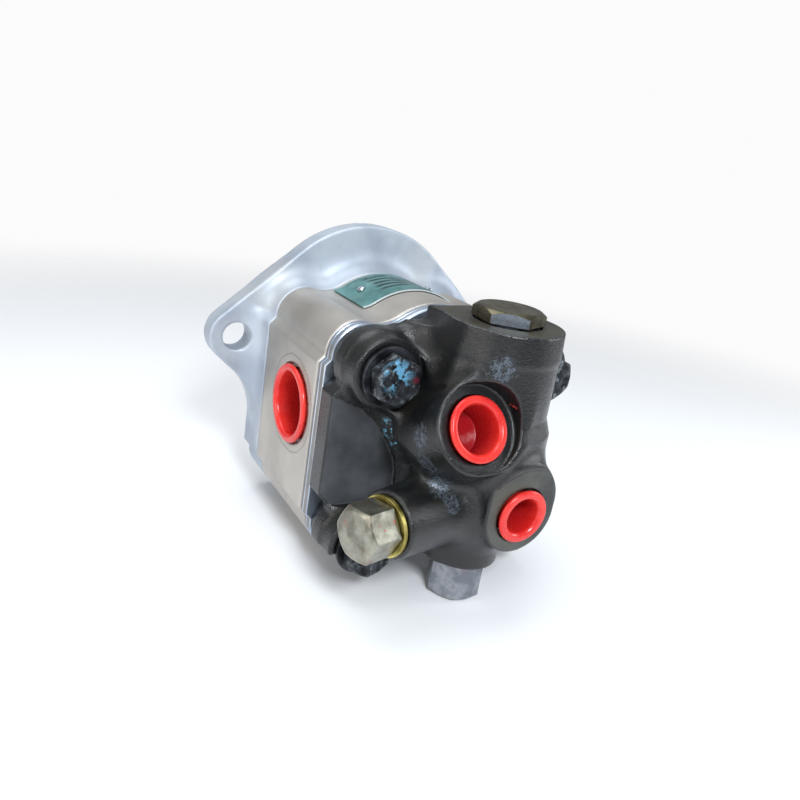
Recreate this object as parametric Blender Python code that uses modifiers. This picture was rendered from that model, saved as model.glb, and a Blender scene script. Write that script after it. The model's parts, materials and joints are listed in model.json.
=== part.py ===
"""Steering pump: an external gear pump with a mounting flange and a valve block as its rear cover.

The pump's own frame has +X to the right seen from the valve block, +Y out along the drive shaft and +Z up.
Its zero point lies on the drive shaft's axis, in the mounting face of the flange. Lengths are in metres.
"""

import math

import bmesh
import bpy
from mathutils import Matrix, Vector

# Clearances
JOINT_GAP = 0.0003          # between two pieces that are clamped face to face
RUNNING_GAP = 0.0003        # between a moving piece and what guides it
BOLT_CLEARANCE = 0.0004     # round the bolts and dowels

# Mounting flange, two-bolt pattern A
FLANGE_BOLT_SPACING = 0.1064
FLANGE_HOLE_RADIUS = 0.0054
FLANGE_EAR_RADIUS = 0.0105
FLANGE_DISC_RADIUS = 0.0456
FLANGE_THICKNESS = 0.0086
PILOT_DIAMETER = 0.08255
PILOT_HEIGHT = 0.00635
NECK_LENGTH = 0.0079        # from the back of the flange to the joint with the body
NECK_FILLET = 0.0065        # casting fillet between the neck and the flange
NECK_START = 0.001          # the lower bolt lobes stop this far behind the mounting face
CAST_CHAMFER = 0.0005

# Gears and their shafts
GEAR_TEETH = 12
GEAR_CENTRES = 0.038
PRESSURE_ANGLE = math.radians(25)
GEAR_TIP_RADIUS = 0.02217
GEAR_ROOT_RADIUS = 0.0154
GEAR_BACKLASH = 0.0003      # taken off each tooth's thickness
GEAR_WIDTH = 0.016
CHAMBER_CLEARANCE = 0.00033
JOURNAL_RADIUS = 0.0095
SEAL_LAND_RADIUS = 0.009
SHAFT_DIAMETER = 0.015875
SHAFT_REACH = 0.03175       # from the mounting face to the end of the shaft
SHAFT_SHOULDER = 0.003      # the keyed end starts this far in front of the mounting face
SHAFT_CHAMFER = 0.001
KEY_WIDTH = 0.00397
KEY_HEIGHT = 0.00397
KEY_LENGTH = 0.019
KEY_INSET = 0.004           # from the end of the shaft to the end of the key
KEY_GAP = 0.0002
BUSH_WALL = 0.0014
BUSH_CHAMFER = 0.0004

# Body section, shared by the neck, the body and the seal plate
MAIN_RADIUS = 0.0288        # outside radius about each gear
BODY_LENGTH = 0.045
BOLT_X = 0.0304
BOLT_RISE = 0.03015         # from the middle of the section up to the upper bolts
LOBE_RADIUS = 0.01105
LOBE_FILLET = 0.014
SIDE_X = 0.0439
SIDE_RISE = 0.027           # half height of the flat on each side
SEAL_PLATE_SIDE_X = 0.0434
SEAL_PLATE_THICKNESS = 0.0044
POCKET_X = 0.016            # inlet and outlet pockets beside the meeting teeth
POCKET_RADIUS = 0.007
GALLERY_X = 0.014           # the outlet gallery through the seal plate into the valve block
GALLERY_RADIUS = 0.0045

# Seals
BODY_SEAL_OFFSET = 0.0031   # from the gear chamber's wall to the middle of the seal
BODY_SEAL_WIRE = 0.0009
BODY_SEAL_GROOVE = 0.0021
SHAFT_SEAL_RADIUS = 0.015
SHAFT_SEAL_WIDTH = 0.007
SHAFT_SEAL_DEPTH = 0.0045   # from the pilot's face to the seal
SHAFT_SEAL_WALL = 0.0012
CIRCLIP_WIDTH = 0.0027
CIRCLIP_THICKNESS = 0.0012
CIRCLIP_BITE = 0.0009       # how far the ring reaches into its groove
CIRCLIP_OPENING = 34        # degrees left open at the top

# Bolts, dowels and nameplate
BOLT_RADIUS = 0.00476
HEX_FACE = 0.95             # a hexagon's round end face against its width across flats
HEX_CHAMFER = math.radians(30)
BOLT_HEAD_FLATS = 0.0143
BOLT_HEAD_HEIGHT = 0.0058
BOLT_END = 0.0045           # the bolts stop this far behind the mounting face
WASHER_RADIUS = 0.0096
WASHER_THICKNESS = 0.0016
DOWEL_RADIUS = 0.002
DOWEL_REACH = 0.005         # into the piece on each side of a joint
DOWEL_X = 0.034
DOWEL_RISE = 0.015
PLATE_LEFT_X = 0.0214
PLATE_RIGHT_X = 0.015
PLATE_FRONT = 0.0037        # from the front end of the body to the nameplate
PLATE_LENGTH = 0.0255
PLATE_FOIL = 0.0005
RIVET_RADIUS = 0.0016
RIVET_HEIGHT = 0.0008
RIVET_SHANK_RADIUS = 0.0008
RIVET_SHANK = 0.003
RIVET_INSET = 0.0142        # from the front end of the body to the first rivet
RIVET_TURNS = (-0.9, 0.645)     # each rivet's angle from the top, as a share of the main arc's half angle
OVERCUT = 0.001             # cutters run this far past the faces they open

# Suction port in the body's left side
SUCTION_RISE = 0.0057       # above the middle of the section
SUCTION_BACK = 0.0172       # in front of the body's rear end
SUCTION_RADIUS = 0.0125
SUCTION_DEPTH = 0.0165
SUCTION_CAP_RING = 0.014
SUCTION_SEAT_RADIUS = 0.0146    # mouth of the seal seat cut round the suction port
UPPER_SEAT_RADIUS = 0.0104      # the same for the upper port
LOWER_SEAT_RADIUS = 0.0094      # and for the lower port
PORT_SEAT_DEPTH = 0.0024
PORT_SEAT_TAPER = math.radians(12)
PORT_CAP_WALL = 0.0011
PORT_CAP_RING_THICKNESS = 0.0014
SUCTION_CAP_DEPTH = 0.0125
CAP_CLEARANCE = 0.0003

# Valve block
BLOCK_PLATE_THICKNESS = 0.0085
BLOCK_LOBE_RADIUS = 0.0108
BLOCK_SIDE_X = 0.0439
BLOCK_SIDE_TOP = 0.001
BLOCK_SIDE_BOTTOM = -0.034
BLOCK_CORNER_X = 0.0397     # where the upper 45 degree cut meets the lobe
BLOCK_CORNER_Z = 0.0046
BLOCK_LOW_CORNER_X = 0.0374     # where the lower 45 degree cut meets the lobe
BLOCK_LOW_CORNER_Z = -0.0405
WEB_TOP_LEFT_X = -0.0195        # the web between the plate and the valve barrel
WEB_TOP_RIGHT_X = 0.0222
WEB_LEFT_X = -0.0275            # its left flank swings in from here to the waist
WEB_RIGHT_X = 0.0255
WEB_SHOULDER_Z = -0.0005
WEB_WAIST_X = -0.0155
WEB_WAIST_Z = -0.029
WEB_FOOT_LEFT_X = -0.012
WEB_FOOT_RIGHT_X = 0.017
WEB_FOOT_Z = -0.0495
WEB_NARROWING = 0.62            # width of the web at the spool axis against its width at the plate
BOLT_SEAT_RISE = 0.0093     # the bolt seats stand this far behind the plate
BOLT_PAD_RADIUS = 0.0117
SPOT_FACE_RADIUS = 0.0104
SPOOL_X = 0.0044
SPOOL_BACK = 0.0177         # from the plate to the axis of the spool bore
TOP_FACE_Z = 0.0314
WING_THICKNESS = 0.008
WING_LEFT_X = 0.0135
WING_START = 0.0013         # the wing starts this far in front of the plate's rear face
TOP_BOSS_RADIUS = 0.0175
TOP_BOSS_TANGENT = 195          # degrees: where the wing's left edge meets the top boss
TOP_BOSS_CHAMFER = 0.0022       # from the top boss down to the barrel
BARREL_RADIUS = 0.0187
BARREL_LOW_Z = 0.012
BARREL_TAPER = 0.001            # the barrel narrows by this above the bulge
BULGE_RADIUS = 0.0212
BULGE_RISE = 0.006              # height of the slope from the barrel out to the bulge
BULGE_HIGH_Z = -0.003
BULGE_LOW_Z = -0.012
WAIST_RADIUS = 0.0155
WAIST_HIGH_Z = -0.02
WAIST_LOW_Z = -0.04
BOTTOM_FACE_Z = -0.0515
BOTTOM_BOSS_RADIUS = 0.013
BOTTOM_BOSS_Z = -0.044
CAST_DRAFT = 1.07               # a cast boss is this much wider at its root
UPPER_BOSS_LENGTH = 0.026
UPPER_PORT_X = -0.012
UPPER_PORT_REACH = 0.0164   # from the spool axis towards the rear
UPPER_PORT_Z = 0.0025
UPPER_PORT_TILT = math.radians(29)
UPPER_PORT_BOSS = 0.0139
UPPER_SPOT_REACH = 0.018    # the port's spot face is milled this far out through the barrel
UPPER_CAP_RING = 0.0102
LOWER_PORT_X = 0.0083
LOWER_PORT_REACH = 0.0216
LOWER_PORT_Z = -0.0261
LOWER_PORT_BOSS = 0.0136
LOWER_PORT_OVAL = 0.0035    # the boss's upper half circle is raised by this
LOWER_CAP_RING = 0.0091
UPPER_PORT_RADIUS = 0.0088
LOWER_PORT_RADIUS = 0.0073
PORT_DEPTH = 0.0135
PORT_CAP_DEPTH = 0.0115
PORT_PASSAGE_RADIUS = 0.0035

# Plugs and valve pieces
TOP_PLUG_FLATS = 0.022
TOP_PLUG_HEIGHT = 0.0034
TOP_PLUG_SHANK_RADIUS = 0.0089
TOP_PLUG_SHANK = 0.0114
PLUG_SEAL_WIRE = 0.00072
PLUG_SEAL_SPACE = 0.0022    # width and depth of the recess for a plug's seal
LEFT_PLUG_TURN = math.radians(14.9)
LEFT_PLUG_Z = -0.0303
LEFT_PLUG_REACH = 0.0527    # from the spool axis to the end of the hexagon
LEFT_PLUG_FLATS = 0.0162
LEFT_PLUG_HEAD = 0.0107
LEFT_PLUG_SHANK_RADIUS = 0.0066
LEFT_PLUG_SHANK = 0.016
LEFT_WASHER_RADIUS = 0.0098
LEFT_WASHER_THICKNESS = 0.0015
LEFT_BARREL_RADIUS = 0.0112
SPOOL_RADIUS = 0.0052
SPOOL_LENGTH = 0.0274
SPOOL_GROOVE_RADIUS = 0.0036
SPOOL_SPRING_RADIUS = 0.0039
SPOOL_SPRING_WIRE = 0.0007
SPOOL_SPRING_LENGTH = 0.0217
SEAT_RADIUS = 0.0068
SEAT_THICKNESS = 0.0047
SEAT_HOLE_RADIUS = 0.002
RELIEF_SHANK_RADIUS = 0.008
RELIEF_SHANK_TOP = -0.0435
RELIEF_CAP_FLATS = 0.0175
RELIEF_CAP_HEIGHT = 0.0142
RELIEF_CAVITY_RADIUS = 0.0056
RELIEF_CAVITY_FLOOR = 0.005  # wall left at the bottom of the cap
POPPET_RADIUS = 0.0043
POPPET_TIP = 0.0012         # the cone reaches this far into the seat's hole
POPPET_CONE = 0.0026
POPPET_COLLAR = 0.0016
POPPET_STEM = 0.0034
RELIEF_SPRING_RADIUS = 0.0034
RELIEF_SPRING_WIRE = 0.00055

# Derived places along the shaft
NECK_END = -(FLANGE_THICKNESS + NECK_LENGTH)
BODY_FRONT = NECK_END - JOINT_GAP
BODY_REAR = BODY_FRONT - BODY_LENGTH
SEAL_PLATE_FRONT = BODY_REAR - JOINT_GAP
SEAL_PLATE_REAR = SEAL_PLATE_FRONT - SEAL_PLATE_THICKNESS
BLOCK_FRONT = SEAL_PLATE_REAR - JOINT_GAP
BLOCK_REAR = BLOCK_FRONT - BLOCK_PLATE_THICKNESS
BOLT_SEAT = BLOCK_REAR - BOLT_SEAT_RISE
BEARING_LENGTH = (BODY_LENGTH - GEAR_WIDTH - 4 * RUNNING_GAP) / 2
GEAR_FRONT = BODY_FRONT - BEARING_LENGTH - 2 * RUNNING_GAP
GEAR_REAR = GEAR_FRONT - GEAR_WIDTH
CHAMBER_RADIUS = GEAR_TIP_RADIUS + CHAMBER_CLEARANCE
BUSH_BORE_RADIUS = JOURNAL_RADIUS + RUNNING_GAP
BUSH_OUTER_RADIUS = BUSH_BORE_RADIUS + BUSH_WALL
SPOOL_Y = BLOCK_REAR - SPOOL_BACK
SPOOL_TOP = TOP_FACE_Z - TOP_PLUG_SHANK - 2 * RUNNING_GAP
SPOOL_BOTTOM = SPOOL_TOP - SPOOL_LENGTH
SPOOL_SPRING_BOTTOM = SPOOL_BOTTOM - RUNNING_GAP - SPOOL_SPRING_LENGTH
SEAT_TOP = SPOOL_SPRING_BOTTOM - RUNNING_GAP
SEAT_BOTTOM = SEAT_TOP - SEAT_THICKNESS
IDLER_Z = -GEAR_CENTRES
MIDDLE_Z = IDLER_Z / 2
BOLT_PLACES = [(x, MIDDLE_Z + z) for x in (-BOLT_X, BOLT_X) for z in (BOLT_RISE, -BOLT_RISE)]
DOWEL_PLACES = [(DOWEL_X, MIDDLE_Z + DOWEL_RISE), (-DOWEL_X, MIDDLE_Z - DOWEL_RISE)]
LOWER_PORT_FACE = SPOOL_Y - LOWER_PORT_REACH

# The part stands on its body's lower arc, with its zero point under the middle of its box
FRAME_SHIFT = Vector((
    0.0,
    -(SHAFT_REACH + LOWER_PORT_FACE - PORT_CAP_RING_THICKNESS - JOINT_GAP) / 2,
    MAIN_RADIUS + GEAR_CENTRES,
))

# Colour, roughness and metallic value of each finish
FINISHES = {
    "cast_aluminium": ((0.60, 0.65, 0.70), 0.45, 0.9),
    "body_aluminium": ((0.55, 0.53, 0.50), 0.40, 0.9),
    "bright_aluminium": ((0.78, 0.81, 0.85), 0.30, 1.0),
    "black_iron": ((0.03, 0.03, 0.035), 0.35, 0.3),
    "steel": ((0.60, 0.61, 0.63), 0.30, 1.0),
    "black_steel": ((0.06, 0.06, 0.07), 0.40, 0.6),
    "bronze": ((0.55, 0.38, 0.20), 0.35, 1.0),
    "rubber": ((0.02, 0.02, 0.02), 0.80, 0.0),
    "red_plastic": ((0.75, 0.05, 0.04), 0.35, 0.0),
    "teal_foil": ((0.10, 0.30, 0.30), 0.35, 0.4),
    "yellow_zinc": ((0.60, 0.48, 0.20), 0.35, 0.9),
}


def clear_scene():
    for obj in list(bpy.data.objects):
        bpy.data.objects.remove(obj, do_unlink=True)


def new_collection(name):
    collection = bpy.data.collections.new(name)
    bpy.context.scene.collection.children.link(collection)
    return collection


clear_scene()
pump = new_collection("steering_pump")
tools = new_collection("cutters")
pump_frame = bpy.data.objects.new("pump_frame", None)
pump_frame.location = FRAME_SHIFT
pump.objects.link(pump_frame)


# Shaping helpers: each returns a hidden object in the cutters collection

def add_tool(name, mesh, place=None):
    obj = bpy.data.objects.new(name, mesh)
    tools.objects.link(obj)
    obj.parent = pump_frame
    if place is not None:
        obj.matrix_basis = place
    obj.hide_render = True
    obj.display_type = "WIRE"
    return obj


def mesh_from(bm, name):
    bmesh.ops.recalc_face_normals(bm, faces=bm.faces)
    mesh = bpy.data.meshes.new(name)
    bm.to_mesh(mesh)
    bm.free()
    return mesh


def smooth(mesh, angle=35):
    mesh.shade_smooth()
    mesh.set_sharp_from_angle(angle=math.radians(angle))


def to_mesh_object(obj):
    """Replace a curve by a closed mesh object with the same name and place."""
    graph = bpy.context.evaluated_depsgraph_get()
    mesh = bpy.data.meshes.new_from_object(obj.evaluated_get(graph))
    name, place = obj.name, obj.matrix_basis.copy()
    bpy.data.objects.remove(obj, do_unlink=True)
    bm = bmesh.new()
    bm.from_mesh(mesh)
    bmesh.ops.remove_doubles(bm, verts=bm.verts, dist=1e-6)
    return add_tool(name, mesh_from(bm, name), place)


def sheet(name, outlines, y_front, y_rear):
    """A flat piece across the shaft: its outlines are lists of (x, z), the inner ones are holes."""
    curve = bpy.data.curves.new(name, "CURVE")
    curve.dimensions = "2D"
    curve.fill_mode = "BOTH"
    curve.extrude = abs(y_front - y_rear) / 2
    for outline in outlines:
        spline = curve.splines.new("POLY")
        spline.points.add(len(outline) - 1)
        spline.use_cyclic_u = True
        for point, (x, z) in zip(spline.points, outline):
            point.co = (x, z, 0, 1)
    place = Matrix.Translation((0, (y_front + y_rear) / 2, 0)) @ Matrix.Rotation(math.pi / 2, 4, "X")
    return to_mesh_object(add_tool(name, curve, place))


def loft(name, rings):
    """Skin between outlines with equal point counts; each ring is (y, [(x, z), ...])."""
    bm = bmesh.new()
    loops = [[bm.verts.new((x, y, z)) for x, z in outline] for y, outline in rings]
    for first, second in zip(loops, loops[1:]):
        for i in range(len(first)):
            j = (i + 1) % len(first)
            bm.faces.new((first[i], first[j], second[j], second[i]))
    bm.faces.new(loops[0])
    bm.faces.new(loops[-1])
    return add_tool(name, mesh_from(bm, name))


def slab(name, outline, low, high):
    """A flat piece that lies level: its outline is a list of (x, y)."""
    bm = bmesh.new()
    foot = [bm.verts.new((x, y, low)) for x, y in outline]
    head = [bm.verts.new((x, y, high)) for x, y in outline]
    bm.faces.new(foot)
    bm.faces.new(head)
    for i in range(len(outline)):
        j = (i + 1) % len(outline)
        bm.faces.new((foot[i], foot[j], head[j], head[i]))
    return add_tool(name, mesh_from(bm, name))


def along(start, direction):
    """Place whose Z axis runs from start along the direction."""
    turn = Vector(direction).to_track_quat("Z", "Y").to_matrix().to_4x4()
    return Matrix.Translation(start) @ turn


def turned(name, profile, place, steps=24, closed=False):
    """A turned piece: the profile is (radius, height) pairs that run down its outer side."""
    mesh = bpy.data.meshes.new(name)
    edges = [(i, i + 1) for i in range(len(profile) - 1)]
    if closed:
        edges.append((len(profile) - 1, 0))
    edges = [(i, j) for i, j in edges if profile[i][0] or profile[j][0]]
    mesh.from_pydata([(radius, 0, height) for radius, height in profile], edges, [])
    obj = add_tool(name, mesh, place)
    screw = obj.modifiers.new("Turn", "SCREW")
    screw.steps = steps
    screw.render_steps = steps
    screw.use_merge_vertices = True
    screw.merge_threshold = 1e-6
    screw.use_smooth_shade = True
    return obj


def rod(name, start, end, radius, steps=28, end_radius=None):
    """A round bar, or a cone where the end radius differs."""
    start, end = Vector(start), Vector(end)
    bm = bmesh.new()
    last = radius if end_radius is None else end_radius
    bmesh.ops.create_cone(bm, cap_ends=True, segments=steps, radius1=radius, radius2=last,
                          depth=(end - start).length)
    return add_tool(name, mesh_from(bm, name), along((start + end) / 2, end - start))


def hexagon(name, start, end, flats):
    """A hexagonal bar with chamfered corners at its far end."""
    start, end = Vector(start), Vector(end)
    length = (end - start).length
    bar = rod(name, start, end, flats / math.sqrt(3), steps=6)
    corner, face = flats / math.sqrt(3) + OVERCUT, flats / 2 * HEX_FACE
    drop = (corner - face) * math.tan(HEX_CHAMFER)
    steps = 24
    half_step = Matrix.Rotation(math.pi / steps, 4, "Z")
    limit = turned(name + "_chamfer", [(0, length), (face, length), (corner, length - drop), (corner, -OVERCUT),
                                       (0, -OVERCUT)],
                   along(start, end - start) @ half_step, steps=steps)
    combine(bar, limit, "INTERSECT")
    return bar


def brick(name, low, high):
    """A rectangular block between two corners."""
    low, high = Vector(low), Vector(high)
    bm = bmesh.new()
    bmesh.ops.create_cube(bm, size=1)
    bmesh.ops.scale(bm, vec=high - low, verts=bm.verts)
    return add_tool(name, mesh_from(bm, name), Matrix.Translation((low + high) / 2))


def ring_seal(name, points, wire):
    """A seal ring of round section along a closed path of points."""
    curve = bpy.data.curves.new(name, "CURVE")
    curve.dimensions = "3D"
    curve.bevel_depth = wire
    curve.bevel_resolution = 1
    spline = curve.splines.new("POLY")
    spline.points.add(len(points) - 1)
    spline.use_cyclic_u = True
    for point, place in zip(spline.points, points):
        point.co = (*place, 1)
    return to_mesh_object(add_tool(name, curve))


def coil(name, x, y, bottom, top, radius, wire, turns):
    """A compression spring round an upright axis, with closed turns at both ends."""
    per_turn = 8
    closing_rise = 2.3 * wire   # an end turn rises by a little more than one wire
    count = turns * per_turn
    curve = bpy.data.curves.new(name, "CURVE")
    curve.dimensions = "3D"
    curve.bevel_depth = wire
    curve.bevel_resolution = 1
    curve.use_fill_caps = True
    spline = curve.splines.new("POLY")
    spline.points.add(count)
    low, high = bottom + wire, top - wire
    for i, point in enumerate(spline.points):
        share = i / count
        rise = min(max((share * turns - 1) / (turns - 2), 0), 1)
        closing = closing_rise * (min(share * turns, 1) + max(share * turns - turns + 1, 0))
        height = low + closing + rise * (high - low - 2 * closing_rise)
        angle = 2 * math.pi * share * turns
        point.co = (x + radius * math.cos(angle), y + radius * math.sin(angle), height, 1)
    return to_mesh_object(add_tool(name, curve))


def combine(target, other, operation):
    modifier = target.modifiers.new(operation.title(), "BOOLEAN")
    modifier.operation = operation
    modifier.solver = "EXACT"
    modifier.object = other


def join(target, *others):
    for other in others:
        combine(target, other, "UNION")
    return target


def cut(target, *others):
    for other in others:
        combine(target, other, "DIFFERENCE")
    return target


def use_manifold(obj):
    """The exact solver leaves open edges on the two castings with the most holes."""
    for modifier in obj.modifiers:
        if modifier.type == "BOOLEAN":
            modifier.solver = "MANIFOLD"


def finish_part(obj, name, finish, origin=None):
    """Name a shaped object, give it its material and put it among the pump's parts."""
    obj.name = name
    obj.data.name = name
    tools.objects.unlink(obj)
    pump.objects.link(obj)
    obj.hide_render = False
    obj.display_type = "TEXTURED"
    if origin is not None:
        shift = obj.matrix_basis.inverted() @ Vector(origin)
        obj.data.transform(Matrix.Translation(-shift))
        obj.location = origin
    if len(obj.data.polygons):
        smooth(obj.data)
    colour, roughness, metallic = FINISHES[finish]
    material = bpy.data.materials.new(name)
    material.use_nodes = True
    shader = material.node_tree.nodes["Principled BSDF"]
    shader.inputs["Base Color"].default_value = (*colour, 1)
    shader.inputs["Roughness"].default_value = roughness
    shader.inputs["Metallic"].default_value = metallic
    obj.data.materials.clear()
    obj.data.materials.append(material)
    return obj


# Outlines, as lists of (x, z)

def arc(cx, cz, radius, start, end, steps):
    """Points on a round stretch between two angles in degrees."""
    angles = [math.radians(start + (end - start) * i / steps) for i in range(steps + 1)]
    return [(cx + radius * math.cos(a), cz + radius * math.sin(a)) for a in angles]


def circle(cx, cz, radius, steps=32):
    return arc(cx, cz, radius, 0, 360, steps)[:-1]


def crossing(a, a_radius, b, b_radius):
    """Upper crossing of two circles, where b lies to the right of and above a."""
    a, b = Vector(a), Vector(b)
    gap = (b - a).length
    run = (gap ** 2 + a_radius ** 2 - b_radius ** 2) / (2 * gap)
    side = math.sqrt(a_radius ** 2 - run ** 2)
    unit = (b - a) / gap
    return a + unit * run + Vector((-unit.y, unit.x)) * side


def mirrored(quarter):
    """Complete an outline from its upper right quarter, which starts on the middle line."""
    right = quarter + [(x, 2 * MIDDLE_Z - z) for x, z in reversed(quarter)]
    left = [(-x, z) for x, z in reversed(right)]
    return right + left[1:-1]


def hollow_centre():
    """Centre of the concave arc between the main arc and the upper right bolt lobe."""
    return crossing((0, 0), MAIN_RADIUS + LOBE_FILLET, (BOLT_X, MIDDLE_Z + BOLT_RISE), LOBE_RADIUS + LOBE_FILLET)


def body_section(grow=0.0, side=SIDE_X):
    """Two arcs about the gears, four bolt lobes and a flat on each side."""
    bolt = (BOLT_X, MIDDLE_Z + BOLT_RISE)
    main, lobe, fillet = MAIN_RADIUS + grow, LOBE_RADIUS + grow, LOBE_FILLET - grow
    hollow = hollow_centre()
    main_end = math.degrees(math.atan2(hollow.y, hollow.x))
    lobe_start = math.degrees(math.atan2(hollow.y - bolt[1], hollow.x - bolt[0]))
    quarter = [(0, main)] + arc(0, 0, main, 90, main_end, 5)[1:]
    quarter += arc(hollow.x, hollow.y, fillet, main_end + 180, lobe_start + 180, 3)[1:]
    quarter += arc(*bolt, lobe, lobe_start, 0, 5)[1:]
    step = side + grow - bolt[0] - lobe
    quarter += [(bolt[0] + lobe, MIDDLE_Z + SIDE_RISE + step), (side + grow, MIDDLE_Z + SIDE_RISE)]
    return mirrored(quarter)


def block_section(grow=0.0):
    """The valve block's plate: straight top and bottom, with cut corners at its sides."""
    bolt_z = MIDDLE_Z + BOLT_RISE
    lobe = BLOCK_LOBE_RADIUS + grow
    corner = math.degrees(math.atan2(BLOCK_CORNER_Z - bolt_z, BLOCK_CORNER_X - BOLT_X))
    low_bolt_z = MIDDLE_Z - BOLT_RISE
    low = math.degrees(math.atan2(BLOCK_LOW_CORNER_Z - low_bolt_z, BLOCK_LOW_CORNER_X - BOLT_X))
    right = arc(BOLT_X, bolt_z, lobe, 90, corner, 6)
    right += [(BLOCK_SIDE_X + grow, BLOCK_SIDE_TOP), (BLOCK_SIDE_X + grow, BLOCK_SIDE_BOTTOM)]
    right += arc(BOLT_X, low_bolt_z, lobe, low, -90, 6)
    return right + [(-x, z) for x, z in reversed(right)]


def web_section(narrowing=1.0):
    """The web between the plate and the valve barrel: its left flank swings in to a waist."""
    under = TOP_FACE_Z - WING_THICKNESS
    points = [(WEB_TOP_LEFT_X, under)]
    steps = 6
    for i in range(steps + 1):
        share = i / steps
        swing = (1 - math.cos(math.pi * share)) / 2
        points.append((WEB_LEFT_X + (WEB_WAIST_X - WEB_LEFT_X) * swing,
                       WEB_SHOULDER_Z + (WEB_WAIST_Z - WEB_SHOULDER_Z) * share))
    points += [(WEB_FOOT_LEFT_X, WEB_FOOT_Z), (WEB_FOOT_RIGHT_X, WEB_FOOT_Z), (WEB_RIGHT_X, WEB_SHOULDER_Z),
               (WEB_TOP_RIGHT_X, under)]
    return [(SPOOL_X + (x - SPOOL_X) * narrowing, z) for x, z in points]


def chamber_section(radius, steps=18):
    """Figure of eight: two circles about the gears, joined where they cross."""
    waist = math.degrees(math.acos(GEAR_CENTRES / 2 / radius))
    upper = arc(0, 0, radius, -90 + waist, 270 - waist, steps)
    lower = arc(0, IDLER_Z, radius, 90 + waist, 450 - waist, steps)
    return upper + lower[1:-1]


def stadium(radius, steps=10):
    """Two half circles about the gears with straight sides."""
    return arc(0, 0, radius, 0, 180, steps) + arc(0, IDLER_Z, radius, 180, 360, steps)


def gear_section(cx, cz, phase):
    """Involute teeth, with the root reached straight below the base circle."""
    pitch = GEAR_CENTRES / 2
    base = pitch * math.cos(PRESSURE_ANGLE)
    thickness = math.pi * GEAR_CENTRES / GEAR_TEETH / 2 - GEAR_BACKLASH
    half_base = thickness / 2 / pitch + math.tan(PRESSURE_ANGLE) - PRESSURE_ANGLE
    steps = 4
    points = []
    for tooth in range(GEAR_TEETH):
        centre = math.radians(phase) + tooth * 2 * math.pi / GEAR_TEETH
        flank = []
        for i in range(steps + 1):
            radius = base + (GEAR_TIP_RADIUS - base) * i / steps
            pressure = math.acos(min(1, base / radius))
            flank.append((radius, half_base - math.tan(pressure) + pressure))
        polar = [(GEAR_ROOT_RADIUS, -half_base)] + [(radius, -half) for radius, half in flank]
        polar += [(radius, half) for radius, half in reversed(flank)] + [(GEAR_ROOT_RADIUS, half_base)]
        polar.append((GEAR_ROOT_RADIUS, math.pi / GEAR_TEETH))
        points += [(cx + r * math.cos(centre + a), cz + r * math.sin(centre + a)) for r, a in polar]
    return points


def bolt_holes(name, y_front, y_rear):
    """Four clearance holes for the through bolts."""
    return [rod(f"{name}_{i}", (x, y_front, z), (x, y_rear, z), BOLT_RADIUS + BOLT_CLEARANCE, 12)
            for i, (x, z) in enumerate(BOLT_PLACES)]


def dowel_holes(name, y_front, y_rear):
    return [rod(f"{name}_{i}", (x, y_front, z), (x, y_rear, z), DOWEL_RADIUS + JOINT_GAP, 12)
            for i, (x, z) in enumerate(DOWEL_PLACES)]


def seal_seat(name, face, outward, radius):
    """The tapered seat for a fitting's seal ring, at the mouth of a port."""
    slope = math.tan(PORT_SEAT_TAPER)
    return rod(name, face + outward * OVERCUT, face - outward * PORT_SEAT_DEPTH, radius + OVERCUT * slope, 28,
               radius - PORT_SEAT_DEPTH * slope)


# Mounting flange with its neck

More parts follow.
